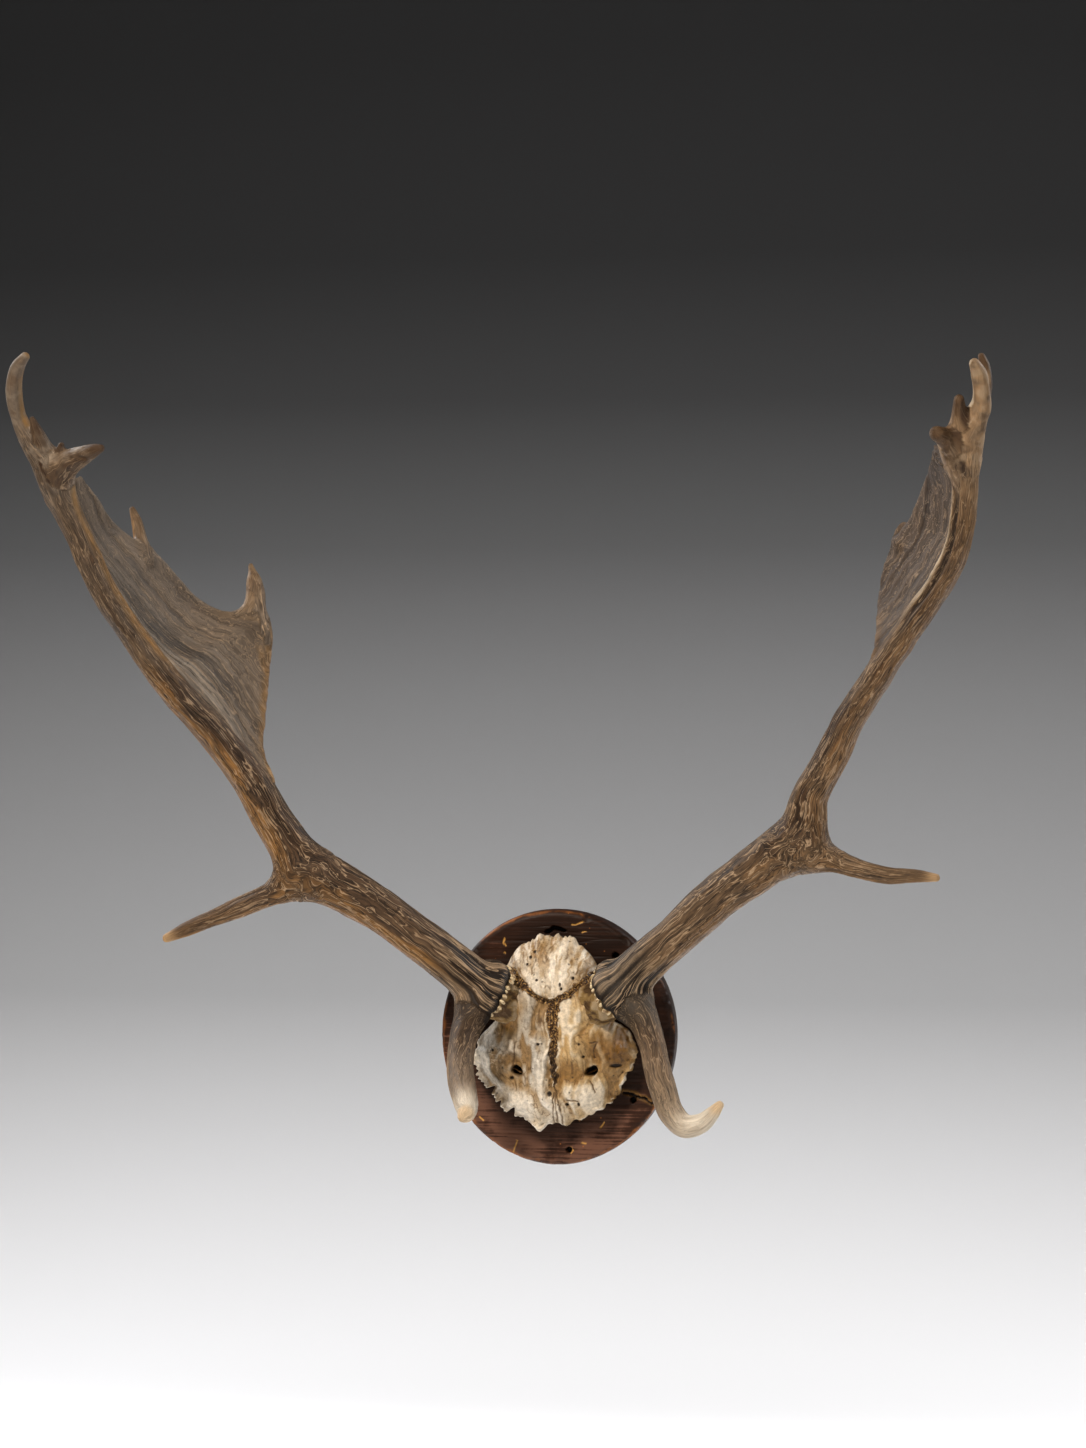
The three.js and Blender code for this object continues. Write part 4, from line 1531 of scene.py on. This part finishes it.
@dataclass
class Plaque:
    """The turned oval board, with its worn front edge, nail holes, scratches and drying crack."""

    centre: Place = (-2.0, -1.0)
    width: float = 175.5
    height: float = 189.5
    thick: float = 20.0
    bevel: float = 5.0
    # Open nail holes: x, z and radius.
    nail_holes: tuple[tuple[float, float, float], ...] = ((42, 60, 2.4), (55, -46.5, 2.2), (7, -84.5, 2.2))
    crack: tuple[Place, ...] = ((48, -40.5), (58, -43.5), (66, -47), (72, -49))
    slot: tuple[Place, ...] = ((-8.6, 78), (-4, 80), (2.6, 78.5))
    bone_rim: tuple[Place, ...] = SkullPlate.rim_line
    scratches: tuple[tuple[Place, ...], ...] = (
        ((17.6, 77.2), (19.2, 77.6)), ((9.4, 82.5), (17.6, 84.8)), ((-32, -78.6), (-35, -86.8)),
        ((16.4, -78.8), (19, -79.4)), ((30.3, -66.9), (33.3, -63.2)),
        ((-41.8, 72.3), (-42.5, 68.6), (-40.5, 67)), ((-41.5, 61.4), (-40.5, 60.8)),
        ((-60.4, -61), (-57, -64)), ((8.6, -82.5), (9.9, -84.6), (9.2, -86.6)),
        ((62, 39), (64, 35)), ((70, -20), (71, -23)), ((-68, 8), (-70, 2)),
    )
    hole_depth: float = 6.0
    slot_half: Span = (2.0, 1.0)
    crack_half: Span = (1.1, 0.4)
    crack_depth: float = 2.4
    lip_rise: float = 0.5
    scratch_half: Span = (0.85, 0.3)
    scratch_depth: float = 0.5
    nick_depth: float = 0.8
    bone_shadow_reach: Span = (17.0, 2.0)
    paler_x: Span = (75.0, 30.0)
    paler_z: Span = (60.0, -70.0)
    sides: int = 560
    rings: int = 130
    seed: int = 61

    def build(self) -> bpy.types.Object:
        """Turns the board and works its holes, crack and worn edge.

        Returns:
            The board, with attributes that its finish reads.
        """
        half = 0.5 * self.height
        shoulder = 1.0 - self.bevel / half
        face = shoulder * np.sqrt(np.linspace(0.0, 1.0, self.rings))
        turn = np.linspace(0.0, math.pi / 2.0, 9)[1:]
        corner = shoulder + (1.0 - shoulder) * np.sin(turn)
        shares = np.concatenate([face, corner, [1.0, 1.0, 0.985, 0.5, 0.0]])
        roll = self.thick - self.bevel * (1.0 - np.cos(turn))
        back = [self.thick * 0.4, 1.2, 0.0, 0.0, 0.0]
        depths = np.concatenate([np.full(self.rings, self.thick), roll, back])
        angle = np.linspace(-math.pi, math.pi, self.sides, endpoint=False)
        wobble = 1.0 + 0.004 * np.sin(3.0 * angle + 1.0) + 0.002 * np.sin(7.0 * angle)
        x = self.centre[0] + 0.5 * self.width * np.outer(shares, wobble * np.cos(angle)).ravel()
        z = self.centre[1] + half * np.outer(shares, wobble * np.sin(angle)).ravel()
        share = np.repeat(shares, self.sides)
        depth = np.repeat(depths, self.sides)
        # Only the face and its rounded edge are worn and marked.
        front = depth > 0.7 * self.thick
        lift, values = self.surface_values(np.stack([x, z], axis=1), share)
        values = {key: value * front for key, value in values.items()}
        depth = depth + lift * front
        points = np.stack([x, -depth, z], axis=1)
        return make_piece("plaque_board", points, ring_faces(len(shares), self.sides)[:, ::-1], values)

    def surface_values(self, place: Array, share: Array) -> tuple[Array, dict[str, Array]]:
        """Wear of the board's face and the masks of its finish.

        Args:
            place: X and Z of each vertex.
            share: How far each vertex is from the centre to the rim.

        Returns:
            Height to add to the face, and attributes for the finish.
        """
        x, z = place.T
        flat = np.stack([x, z, np.zeros_like(x)], axis=1)
        lift = 0.25 * rough_noise(flat / np.array([60.0, 14.0, 1.0]), self.seed, 3)
        pores = lattice_noise(flat / np.array([40.0, 2.2, 1.0]), self.seed + 1)
        lift -= 0.25 * np.exp(-((pores / 0.15) ** 2))
        hole = np.zeros_like(x)
        for cx, cz, radius in self.nail_holes:
            hole = np.maximum(hole, smooth(1.15, 0.85, np.hypot(x - cx, z - cz) / radius))
        jag = np.stack([lattice_noise(flat / 4.0, self.seed + i) for i in (2, 3)], axis=1)
        gap, _ = to_line(place + 0.8 * jag, self.crack)
        crack = smooth(*self.crack_half, gap)
        slot, _ = to_line(place + 1.2 * jag, self.slot)
        worn = np.zeros_like(x)
        for line in self.scratches:
            scratch, _ = to_line(place + 0.6 * jag, line)
            worn = np.maximum(worn, smooth(*self.scratch_half, scratch))
        # How near each place is to the bone's rim, for the painted shadow that the skull plate casts on the
        # board.
        beside, _ = to_line(place, self.bone_rim + self.bone_rim[:1])
        dark = np.maximum(hole, smooth(*self.slot_half, slot))
        lift -= self.hole_depth * dark + self.crack_depth * crack + self.scratch_depth * worn
        lip = smooth(3.2, 1.0, gap) * (1.0 - crack) * smooth(-49.0, -44.0, z + 0.4 * (x - 60.0))
        lift += self.lip_rise * lip
        nick = rough_noise(flat / 7.0, self.seed + 4, 2)
        lift -= self.nick_depth * smooth(0.2, 0.6, nick) * smooth(0.93, 0.97, share)
        values = {
            # Painted shade in the nail holes, the slot and the crack.
            "hole": np.maximum(dark, crack),
            "lip": np.maximum(0.3 * lip, worn),
            "edge": smooth(0.97, 0.985, share + 0.012 * nick) * smooth(1.0001, 0.992, share),
            "bone_shadow": smooth(*self.bone_shadow_reach, beside),
            "low": smooth(*self.paler_z, z) * smooth(*self.paler_x, x),
        }
        return lift, values

    def dress(self, piece: bpy.types.Object, material: bpy.types.Material) -> None:
        """Gives the board its finish and its place in the frame.

        Args:
            piece: The board.
            material: Its finish.
        """
        piece.data.materials.append(material)
        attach(piece, "root")
        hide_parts("plaque")


# Finishes


@dataclass(frozen=True)
class AntlerFinish:
    """Dry antler: grey-brown with pale rubbed lines, sap in the gutters, golden undersides."""

    body: str = "#4a3726"
    sap_and_shade: str = "#170e07"
    line: str = "#b3987a"
    golden: str = "#8f6636"
    brown: str = "#362313"
    grey: str = "#6c6054"
    bar: str = "#5d4e40"
    crown: str = "#65584b"
    amber: str = "#94682e"
    pale: str = "#ab9d8c"
    ivory: str = "#ded3c2"
    spot: str = "#deba8c"
    bone: str = "#84693f"
    soot: str = "#35291d"

    def tint(self, masks: dict[str, Array]) -> Array:
        """Lays the antler's colours by its masks.

        Args:
            masks: One value for each vertex, by the name of the place.

        Returns:
            A colour for each vertex, in linear light.
        """
        pale_spots = masks["crown"] * smooth(0.0, -0.5, masks["mottle"])
        layers = (
            (self.grey, 0.85 * masks["blade"]),
            (self.bar, 0.9 * masks["bar"]),
            (self.brown, 0.8 * masks["upper"]),
            # Golden on faces turned down, partly painted light from below; some golden on the trez tines.
            (self.golden, 0.85 * masks["warm"] + 0.2 * masks["trez"]),
            (self.crown, 0.85 * masks["crown"]),
            (self.brown, 0.32 * masks["crown"] * smooth(0.05, 0.55, masks["mottle"])),
            (self.pale, 0.35 * masks["cloud"] + 0.3 * pale_spots),
            (self.brown, 0.7 * masks["speck"]),
            # Painted shade on the undersides of the top points, and brown near their ends.
            (self.brown, 0.65 * masks["under"]),
            (self.golden, 0.5 * masks["edge"]),
            (self.golden, 0.3 * masks["speller"]),
            (self.brown, 0.4 * masks["speller"] * smooth(0.1, -0.4, masks["mottle"])),
            (self.soot, 0.85 * masks["soot"]),
            (self.sap_and_shade, 0.85 * masks["gutter"]),
            (self.line, 0.6 * masks["ridge"]),
            (self.pale, 0.46 * masks["brow"] + 0.62 * masks["root"]),
            (self.ivory, 0.3 * masks["thread"]),
            (self.amber, 0.8 * masks["amber"]),
            # Painted shade in the groove beside the blade.
            (self.sap_and_shade, 0.75 * masks["groove"]),
            # Painted highlight on the faces of the bar turned inwards and up.
            (self.pale, 0.85 * masks["fold_highlight"]),
            (self.ivory, 0.92 * masks["brow_tip"]),
            (self.spot, 0.6 * masks["spot"]),
            (self.bone, masks["stalk"]),
            (self.pale, 0.55 * masks["stalk"] * smooth(0.0, 0.45, masks["mottle"])),
            (self.brown, 0.75 * masks["stalk"] * smooth(-0.05, -0.5, masks["mottle"])),
            # Painted shadow under the coronet.
            (self.sap_and_shade, 0.95 * masks["foot"]),
        )
        return lay_colours(self.body, layers)

    def material(self) -> bpy.types.Material:
        """Builds the material from the antler's own grain.

        Returns:
            The material.
        """
        material, tree, shader = new_material("dry antler, rubbed and polished at the tips")
        grain = add(tree, "ShaderNodeAttribute", attribute_name="grain").outputs["Vector"]
        tint = add(tree, "ShaderNodeAttribute", attribute_name="tint").outputs["Color"]
        rub = add(tree, "ShaderNodeAttribute", attribute_name="rub").outputs["Fac"]
        # Fine streaks along the limb, drawn about 1.8 mm wide and 14 mm long to be seen in the picture.
        place = add(tree, "ShaderNodeMapping", {"Vector": grain, "Scale": (1 / 1.8, 1 / 1.8, 1 / 14)})
        streak = add(
            tree,
            "ShaderNodeTexNoise",
            {"Vector": place.outputs[0], "Scale": 1.0, "Detail": 4.0, "Roughness": 0.6, "Distortion": 0.6},
        )
        shade = add(
            tree,
            "ShaderNodeMapRange",
            {
                "Value": streak.outputs["Fac"],
                "From Min": 0.3,
                "From Max": 0.7,
                "To Min": 0.22,
                "To Max": 1.55,
            },
        )
        blended = add(tree, "ShaderNodeMix", {"Factor": rub, "A": 1.0, "B": shade.outputs[0]})
        streaked = add(tree, "ShaderNodeVectorMath", {0: tint, "Scale": blended.outputs[0]}, operation="SCALE")
        # Thin rubbed ridges with a dark line beside them, drawn about 2.6 mm apart and 36 mm long.
        way = add(tree, "ShaderNodeMapping", {"Vector": grain, "Scale": (1 / 2.6, 1 / 2.6, 1 / 36)})
        wave = add(
            tree,
            "ShaderNodeTexNoise",
            {"Vector": way.outputs[0], "Scale": 1.0, "Detail": 2.0, "Roughness": 0.5, "Distortion": 0.5},
        )
        colour = streaked.outputs[0]
        for level, amount, tone in ((0.41, 0.95, self.sap_and_shade), (0.5, 0.78, self.line)):
            off = add(tree, "ShaderNodeMath", {0: wave.outputs["Fac"], 1: level}, operation="SUBTRACT")
            size = add(tree, "ShaderNodeMath", {0: off.outputs[0]}, operation="ABSOLUTE")
            ridge = add(
                tree,
                "ShaderNodeMapRange",
                {"Value": size.outputs[0], "From Min": 0.032, "From Max": 0.0, "To Max": amount},
            )
            rubbed = add(tree, "ShaderNodeMath", {0: ridge.outputs[0], 1: rub}, operation="MULTIPLY")
            mixed = add(
                tree,
                "ShaderNodeMix",
                {"Factor": rubbed.outputs[0], 6: colour, 7: linear(tone)},
                data_type="RGBA",
            )
            colour = mixed.outputs[2]
        height = add(
            tree,
            "ShaderNodeMath",
            {0: ridge.outputs[0], 1: 0.5, 2: streak.outputs["Fac"]},
            operation="MULTIPLY_ADD",
        )
        bump = add(
            tree,
            "ShaderNodeBump",
            {"Height": height.outputs[0], "Strength": 0.8, "Distance": 0.8 * MM},
        )
        surface = {"Base Color": colour, "Normal": bump.outputs[0]}
        feed(tree, shader, {**surface, "Roughness": 0.58, "Specular IOR Level": 0.2})
        return material


@dataclass(frozen=True)
class PearlFinish:
    """Rubbed antler beads: pale crowns, browner where they are less rubbed."""

    pale: str = "#d3bf98"
    brown: str = "#8a6a44"

    def material(self) -> bpy.types.Material:
        """Builds the material, mottled at about 3 mm.

        Returns:
            The material.
        """
        material, tree, shader = new_material("antler pearl, rubbed")
        place = add(tree, "ShaderNodeTexCoord")
        cloud = add(tree, "ShaderNodeTexNoise", {"Vector": place.outputs["Object"], "Scale": 1 / (3 * MM)})
        colour = add(
            tree,
            "ShaderNodeValToRGB",
            {"Fac": cloud.outputs["Fac"]},
            stops=((0.35, self.brown), (0.55, self.pale)),
        )
        feed(tree, shader, {"Base Color": colour.outputs["Color"], "Roughness": 0.45, "IOR": 1.52})
        return material


@dataclass(frozen=True)
class BoneFinish:
    """Boiled and dried bone: cream dome, tan and grey frontals, brown grains in the sutures."""

    grains: tuple[tuple[float, str], ...] = ((0.4, "#24160a"), (0.68, "#b8945c"), (0.52, "#5c3e1e"))

    def tint(self, base: BoneTone, layers: list[tuple[BoneTone, Array]]) -> Array:
        """Lays the bone's colours over one another, as a colour in linear light for each vertex."""
        return lay_colours(base.value, [(tone.value, mask) for tone, mask in layers])

    def material(self) -> bpy.types.Material:
        """Builds the material from the bone's own colours with fine grain and pores.

        Returns:
            The material.
        """
        material, tree, shader = new_material("dry skull bone, boiled and stained")
        tint = add(tree, "ShaderNodeAttribute", attribute_name="tint").outputs["Color"]
        suture = add(tree, "ShaderNodeAttribute", attribute_name="suture").outputs["Fac"]
        place = add(tree, "ShaderNodeTexCoord").outputs["Object"]
        # Fine mottling of about 3 mm, and open pores of about 1 mm every 8 mm.
        fine = add(
            tree,
            "ShaderNodeTexNoise",
            {"Vector": place, "Scale": 1 / (3 * MM), "Detail": 6.0, "Roughness": 0.65},
        )
        pores = add(tree, "ShaderNodeTexVoronoi", {"Vector": place, "Scale": 1 / (8 * MM)})
        shade = add(
            tree,
            "ShaderNodeMapRange",
            {"Value": fine.outputs["Fac"], "From Min": 0.3, "From Max": 0.7, "To Min": 0.58, "To Max": 1.25},
        )
        pore = add(
            tree,
            "ShaderNodeMapRange",
            {"Value": pores.outputs["Distance"], "From Min": 0.06, "From Max": 0.13, "To Min": 0.35},
        )
        both = add(tree, "ShaderNodeMath", {0: shade.outputs[0], 1: pore.outputs[0]}, operation="MULTIPLY")
        body = add(tree, "ShaderNodeVectorMath", {0: tint, "Scale": both.outputs[0]}, operation="SCALE")
        # Brown and tan grains that fill the sutures, about 1.4 mm across.
        grain = add(tree, "ShaderNodeTexNoise", {"Vector": place, "Scale": 1 / (1.4 * MM), "Detail": 2.0})
        filling = add(tree, "ShaderNodeValToRGB", {"Fac": grain.outputs["Fac"]}, stops=self.grains)
        colour = add(
            tree,
            "ShaderNodeMix",
            {"Factor": suture, 6: body.outputs[0], 7: filling.outputs["Color"]},
            data_type="RGBA",
        )
        height = add(
            tree,
            "ShaderNodeMath",
            {0: grain.outputs["Fac"], 1: suture, 2: both.outputs[0]},
            operation="MULTIPLY_ADD",
        )
        bump = add(
            tree,
            "ShaderNodeBump",
            {"Height": height.outputs[0], "Strength": 0.55, "Distance": 0.6 * MM},
        )
        surface = {"Base Color": colour.outputs[2], "Normal": bump.outputs[0]}
        feed(tree, shader, {**surface, "Roughness": 0.45, "Specular IOR Level": 0.25})
        return material


@dataclass(frozen=True)
class WoodFinish:
    """Stained and waxed board: near black red-brown, grain across, orange where the stain is worn."""

    deep: str = "#1d0e06"
    brown: str = "#331c10"
    red: str = "#664637"
    worn: str = "#a5652f"
    gold: str = "#d8a254"
    dark: str = "#070403"
    masks: tuple[str, ...] = ("hole", "lip", "edge", "low", "bone_shadow")

    def material(self) -> bpy.types.Material:
        """Builds the material, with its grain along X.

        Returns:
            The material.
        """
        material, tree, shader = new_material("stained and waxed wood, turned")
        masks = {key: add(tree, "ShaderNodeAttribute", attribute_name=key) for key in self.masks}
        place = add(tree, "ShaderNodeTexCoord").outputs["Object"]
        # Growth lines, about 1.6 mm apart and drawn out to 60 mm along the board.
        pitch = tuple(1 / (size * MM) for size in (60.0, 6.0, 1.6))
        lines = add(tree, "ShaderNodeMapping", {"Vector": place, "Scale": pitch})
        grain = add(
            tree,
            "ShaderNodeTexNoise",
            {"Vector": lines.outputs[0], "Scale": 1.0, "Detail": 6.0, "Roughness": 0.62},
        )
        cloud = add(
            tree,
            "ShaderNodeTexNoise",
            {"Vector": place, "Scale": 1 / (24 * MM), "Detail": 5.0, "Roughness": 0.6},
        )
        eased = add(
            tree,
            "ShaderNodeMapRange",
            {
                "Value": grain.outputs["Fac"],
                "From Min": 0.3,
                "From Max": 0.7,
                "To Min": 0.375,
                "To Max": 0.595,
            },
        )
        both = add(
            tree,
            "ShaderNodeMath",
            {0: cloud.outputs["Fac"], 1: 0.6, 2: eased.outputs[0]},
            operation="MULTIPLY_ADD",
        )
        # The board is paler towards its foot, but not at its right.
        blended = add(
            tree,
            "ShaderNodeMath",
            {0: masks["low"].outputs["Fac"], 1: 0.2, 2: both.outputs[0]},
            operation="MULTIPLY_ADD",
        )
        body = add(
            tree,
            "ShaderNodeValToRGB",
            {"Fac": blended.outputs[0]},
            stops=((0.7, self.deep), (1.25, self.red), (0.9, self.brown)),
        )
        # Small flecks of bare wood, about 1.2 mm across and 11 mm apart.
        flecks = add(tree, "ShaderNodeTexVoronoi", {"Vector": place, "Scale": 1 / (11 * MM)})
        fleck = add(
            tree,
            "ShaderNodeMapRange",
            {"Value": flecks.outputs["Distance"], "From Min": 0.07, "From Max": 0.03},
        )
        rubbed = add(
            tree, "ShaderNodeMapRange", {"Value": cloud.outputs["Fac"], "From Min": 0.46, "From Max": 0.58}
        )
        worn_edge = add(
            tree,
            "ShaderNodeMath",
            {0: masks["edge"].outputs["Fac"], 1: rubbed.outputs[0]},
            operation="MULTIPLY",
        )
        # Painted shadow on the board beside the bone, and bare wood where the stain is rubbed, flaked or
        # scratched off.
        colour = body.outputs["Color"]
        layers = (
            (masks["bone_shadow"].outputs["Fac"], 0.75, self.deep),
            (worn_edge.outputs[0], 0.6, self.worn),
            (fleck.outputs[0], 0.6, self.worn),
            (masks["lip"].outputs["Fac"], 0.7, self.gold),
            # Painted shade in the nail holes, the slot and the crack.
            (masks["hole"].outputs["Fac"], 1.0, self.dark),
        )
        for mask, amount, shade in layers:
            scaled = add(tree, "ShaderNodeMath", {0: mask, 1: amount}, operation="MULTIPLY")
            mixed = add(
                tree,
                "ShaderNodeMix",
                {"Factor": scaled.outputs[0], 6: colour, 7: linear(shade)},
                data_type="RGBA",
            )
            colour = mixed.outputs[2]
        bump = add(
            tree,
            "ShaderNodeBump",
            {"Height": grain.outputs["Fac"], "Strength": 0.35, "Distance": 0.5 * MM},
        )
        surface = {"Base Color": colour, "Normal": bump.outputs[0]}
        feed(tree, shader, {**surface, "Roughness": 0.5, "Specular IOR Level": 0.15})
        return material


# Studio


@dataclass(frozen=True)
class SoftBox:
    """A large soft lamp and the point it is turned to; lengths in metres."""

    name: str
    place_m: Point
    aim_m: Point
    size_m: float
    watts: float
    colour: str


@dataclass
class Studio:
    """The pale floor with its sweep, the soft light and the camera; lengths in metres."""

    floor_m: float = -0.9
    near_m: float = -4.5
    far_m: float = 5.5
    half_width_m: float = 6.0
    bend_m: float = 2.6
    top_m: float = 4.5
    camera_m: Point = (0.3614, -2.3801, 0.2315)
    camera_turn_deg: float = 9.0
    lens_mm: float = 80.0
    sky: str = "#c9ccd0"
    sky_strength: float = 0.09
    # The backdrop's colour by height: painted shade, white at the floor and darker towards the top.
    paper: tuple[tuple[float, str], ...] = (
        (-0.9, "#fefefe"), (1.9, "#1a1a1a"), (-0.36, "#aeaeae"), (0.3, "#838383"), (0.66, "#5b5b5b"),
        (1.03, "#383838"), (1.39, "#222222"),
    )
    lamps: tuple[SoftBox, ...] = (
        SoftBox("key lamp", (-0.85, -2.4, 2.2), (0.0, -0.12, 0.18), 0.45, 110.0, "#fff3e4"),
        SoftBox("fill lamp", (2.0, -2.4, 0.6), (0.0, -0.12, 0.18), 1.4, 17.0, "#fff8f0"),
        SoftBox("low lamp", (0.2, -2.6, -0.6), (0.0, -0.12, 0.0), 1.2, 2.5, "#fff8f0"),
        SoftBox("left rim lamp", (-1.5, 0.8, 1.2), (-0.15, -0.12, 0.2), 0.7, 24.0, "#ffffff"),
        SoftBox("right rim lamp", (1.5, 0.8, 1.2), (0.15, -0.12, 0.2), 0.7, 24.0, "#ffffff"),
        SoftBox("left sweep lamp", (-1.9, 1.2, -0.2), (-0.4, 3.6, -0.8), 1.0, 74.0, "#fafbff"),
        SoftBox("right sweep lamp", (1.3, 1.2, -0.2), (-0.4, 3.6, -0.8), 1.0, 74.0, "#fafbff"),
    )

    def build(self) -> None:
        """Lays the floor, hangs the lamps and sets up the camera."""
        self.lay_floor()
        for lamp in self.lamps:
            self.hang(lamp)
        self.set_camera()
        world = bpy.data.worlds.new("soft studio")
        bpy.context.scene.world = world
        world.use_nodes = True
        background = world.node_tree.nodes["Background"]
        background.inputs["Color"].default_value = linear(self.sky)
        background.inputs["Strength"].default_value = self.sky_strength
        bpy.context.scene.view_settings.view_transform = "Standard"

    def lay_floor(self) -> None:
        """A pale floor that sweeps up to a backdrop far behind the part, with painted shade that makes it
        darker towards its top.
        """
        bend = np.linspace(0.0, math.pi / 2.0, 32)
        start = self.far_m - self.bend_m
        line = [(self.near_m, self.floor_m)]
        for angle in bend:
            rise = self.bend_m * (1.0 - math.cos(angle))
            line.append((start + self.bend_m * math.sin(angle), self.floor_m + rise))
        line.append((self.far_m, self.top_m))
        points = [(x, y, z) for y, z in line for x in (-self.half_width_m, self.half_width_m)]
        faces = [(2 * i, 2 * i + 1, 2 * i + 3, 2 * i + 2) for i in range(len(line) - 1)]
        mesh = bpy.data.meshes.new("floor")
        mesh.from_pydata(points, [], faces)
        mesh.shade_smooth()
        floor = bpy.data.objects.new("floor", mesh)
        bpy.context.collection.objects.link(floor)
        # Matt paper without shine, with painted shade: a deeper grey towards its top.
        material, tree, shader = new_material("matt studio paper")
        split = add(tree, "ShaderNodeSeparateXYZ", {0: add(tree, "ShaderNodeTexCoord").outputs["Object"]})
        low, high = self.paper[0][0], self.paper[1][0]
        height = add(
            tree, "ShaderNodeMapRange", {"Value": split.outputs["Z"], "From Min": low, "From Max": high}
        )
        stops = tuple(((place - low) / (high - low), colour) for place, colour in self.paper)
        shade = add(tree, "ShaderNodeValToRGB", {"Fac": height.outputs[0]}, stops=stops)
        feed(tree, shader, {"Base Color": shade.outputs["Color"], "Roughness": 0.9})
        floor.data.materials.append(material)

    def hang(self, lamp: SoftBox) -> None:
        """Hangs one soft lamp and turns it to its aim.

        Args:
            lamp: The lamp.
        """
        light = bpy.data.lights.new(lamp.name, "AREA")
        light.energy = lamp.watts
        light.size = lamp.size_m
        light.color = linear(lamp.colour)[:3]
        holder = bpy.data.objects.new(lamp.name, light)
        bpy.context.collection.objects.link(holder)
        holder.location = lamp.place_m
        away = np.array(lamp.place_m) - np.array(lamp.aim_m)
        flat = math.hypot(away[0], away[1])
        holder.rotation_euler = (math.atan2(flat, away[2]), 0.0, math.atan2(away[0], -away[1]))

    def set_camera(self) -> None:
        """Sets the camera level, a little to the right of the plaque's middle."""
        data = bpy.data.cameras.new("camera")
        data.lens = self.lens_mm
        camera = bpy.data.objects.new("camera", data)
        bpy.context.collection.objects.link(camera)
        camera.location = self.camera_m
        camera.rotation_euler = (math.radians(90.0), 0.0, math.radians(self.camera_turn_deg))
        bpy.context.scene.camera = camera


def write_sizes() -> None:
    """Updates the view layer."""
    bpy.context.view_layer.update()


def main() -> None:
    """Builds and dresses every piece, then the studio."""
    logging.basicConfig(level=logging.INFO, format="%(name)s: %(message)s")
    left_finish = AntlerFinish()
    right_finish = AntlerFinish(
        body="#5b4733",
        bar="#705538",
        golden="#765838",
        crown="#967a5c",
        amber="#60421f",
        pale="#bbab95",
        grey="#473b32",
        soot="#2f2a24",
    )
    antler_material = left_finish.material()
    pearl_material = PearlFinish().material()
    antlers = ((Side.LEFT, LEFT_SHAPE, left_finish), (Side.RIGHT, RIGHT_SHAPE, right_finish))
    for side, shape, finish in antlers:
        antler = Antler(side, shape, finish)
        piece = antler.build()
        antler.dress(piece, antler_material)
        LOG.info("%s: %d faces", piece.name, len(piece.data.polygons))
        coronet = CoronetPearls(side, shape)
        pearls = coronet.build(pearl_material)
        coronet.dress(pearls)
        LOG.info("%s: %d faces", pearls.name, len(pearls.data.polygons))
    bone = BoneFinish()
    for sub_assembly, finish in ((SkullPlate(bone), bone), (Plaque(), WoodFinish())):
        piece = sub_assembly.build()
        sub_assembly.dress(piece, finish.material())
        LOG.info("%s: %d faces", piece.name, len(piece.data.polygons))
    Studio().build()
    write_sizes()


if __name__ == "__main__":
    main()
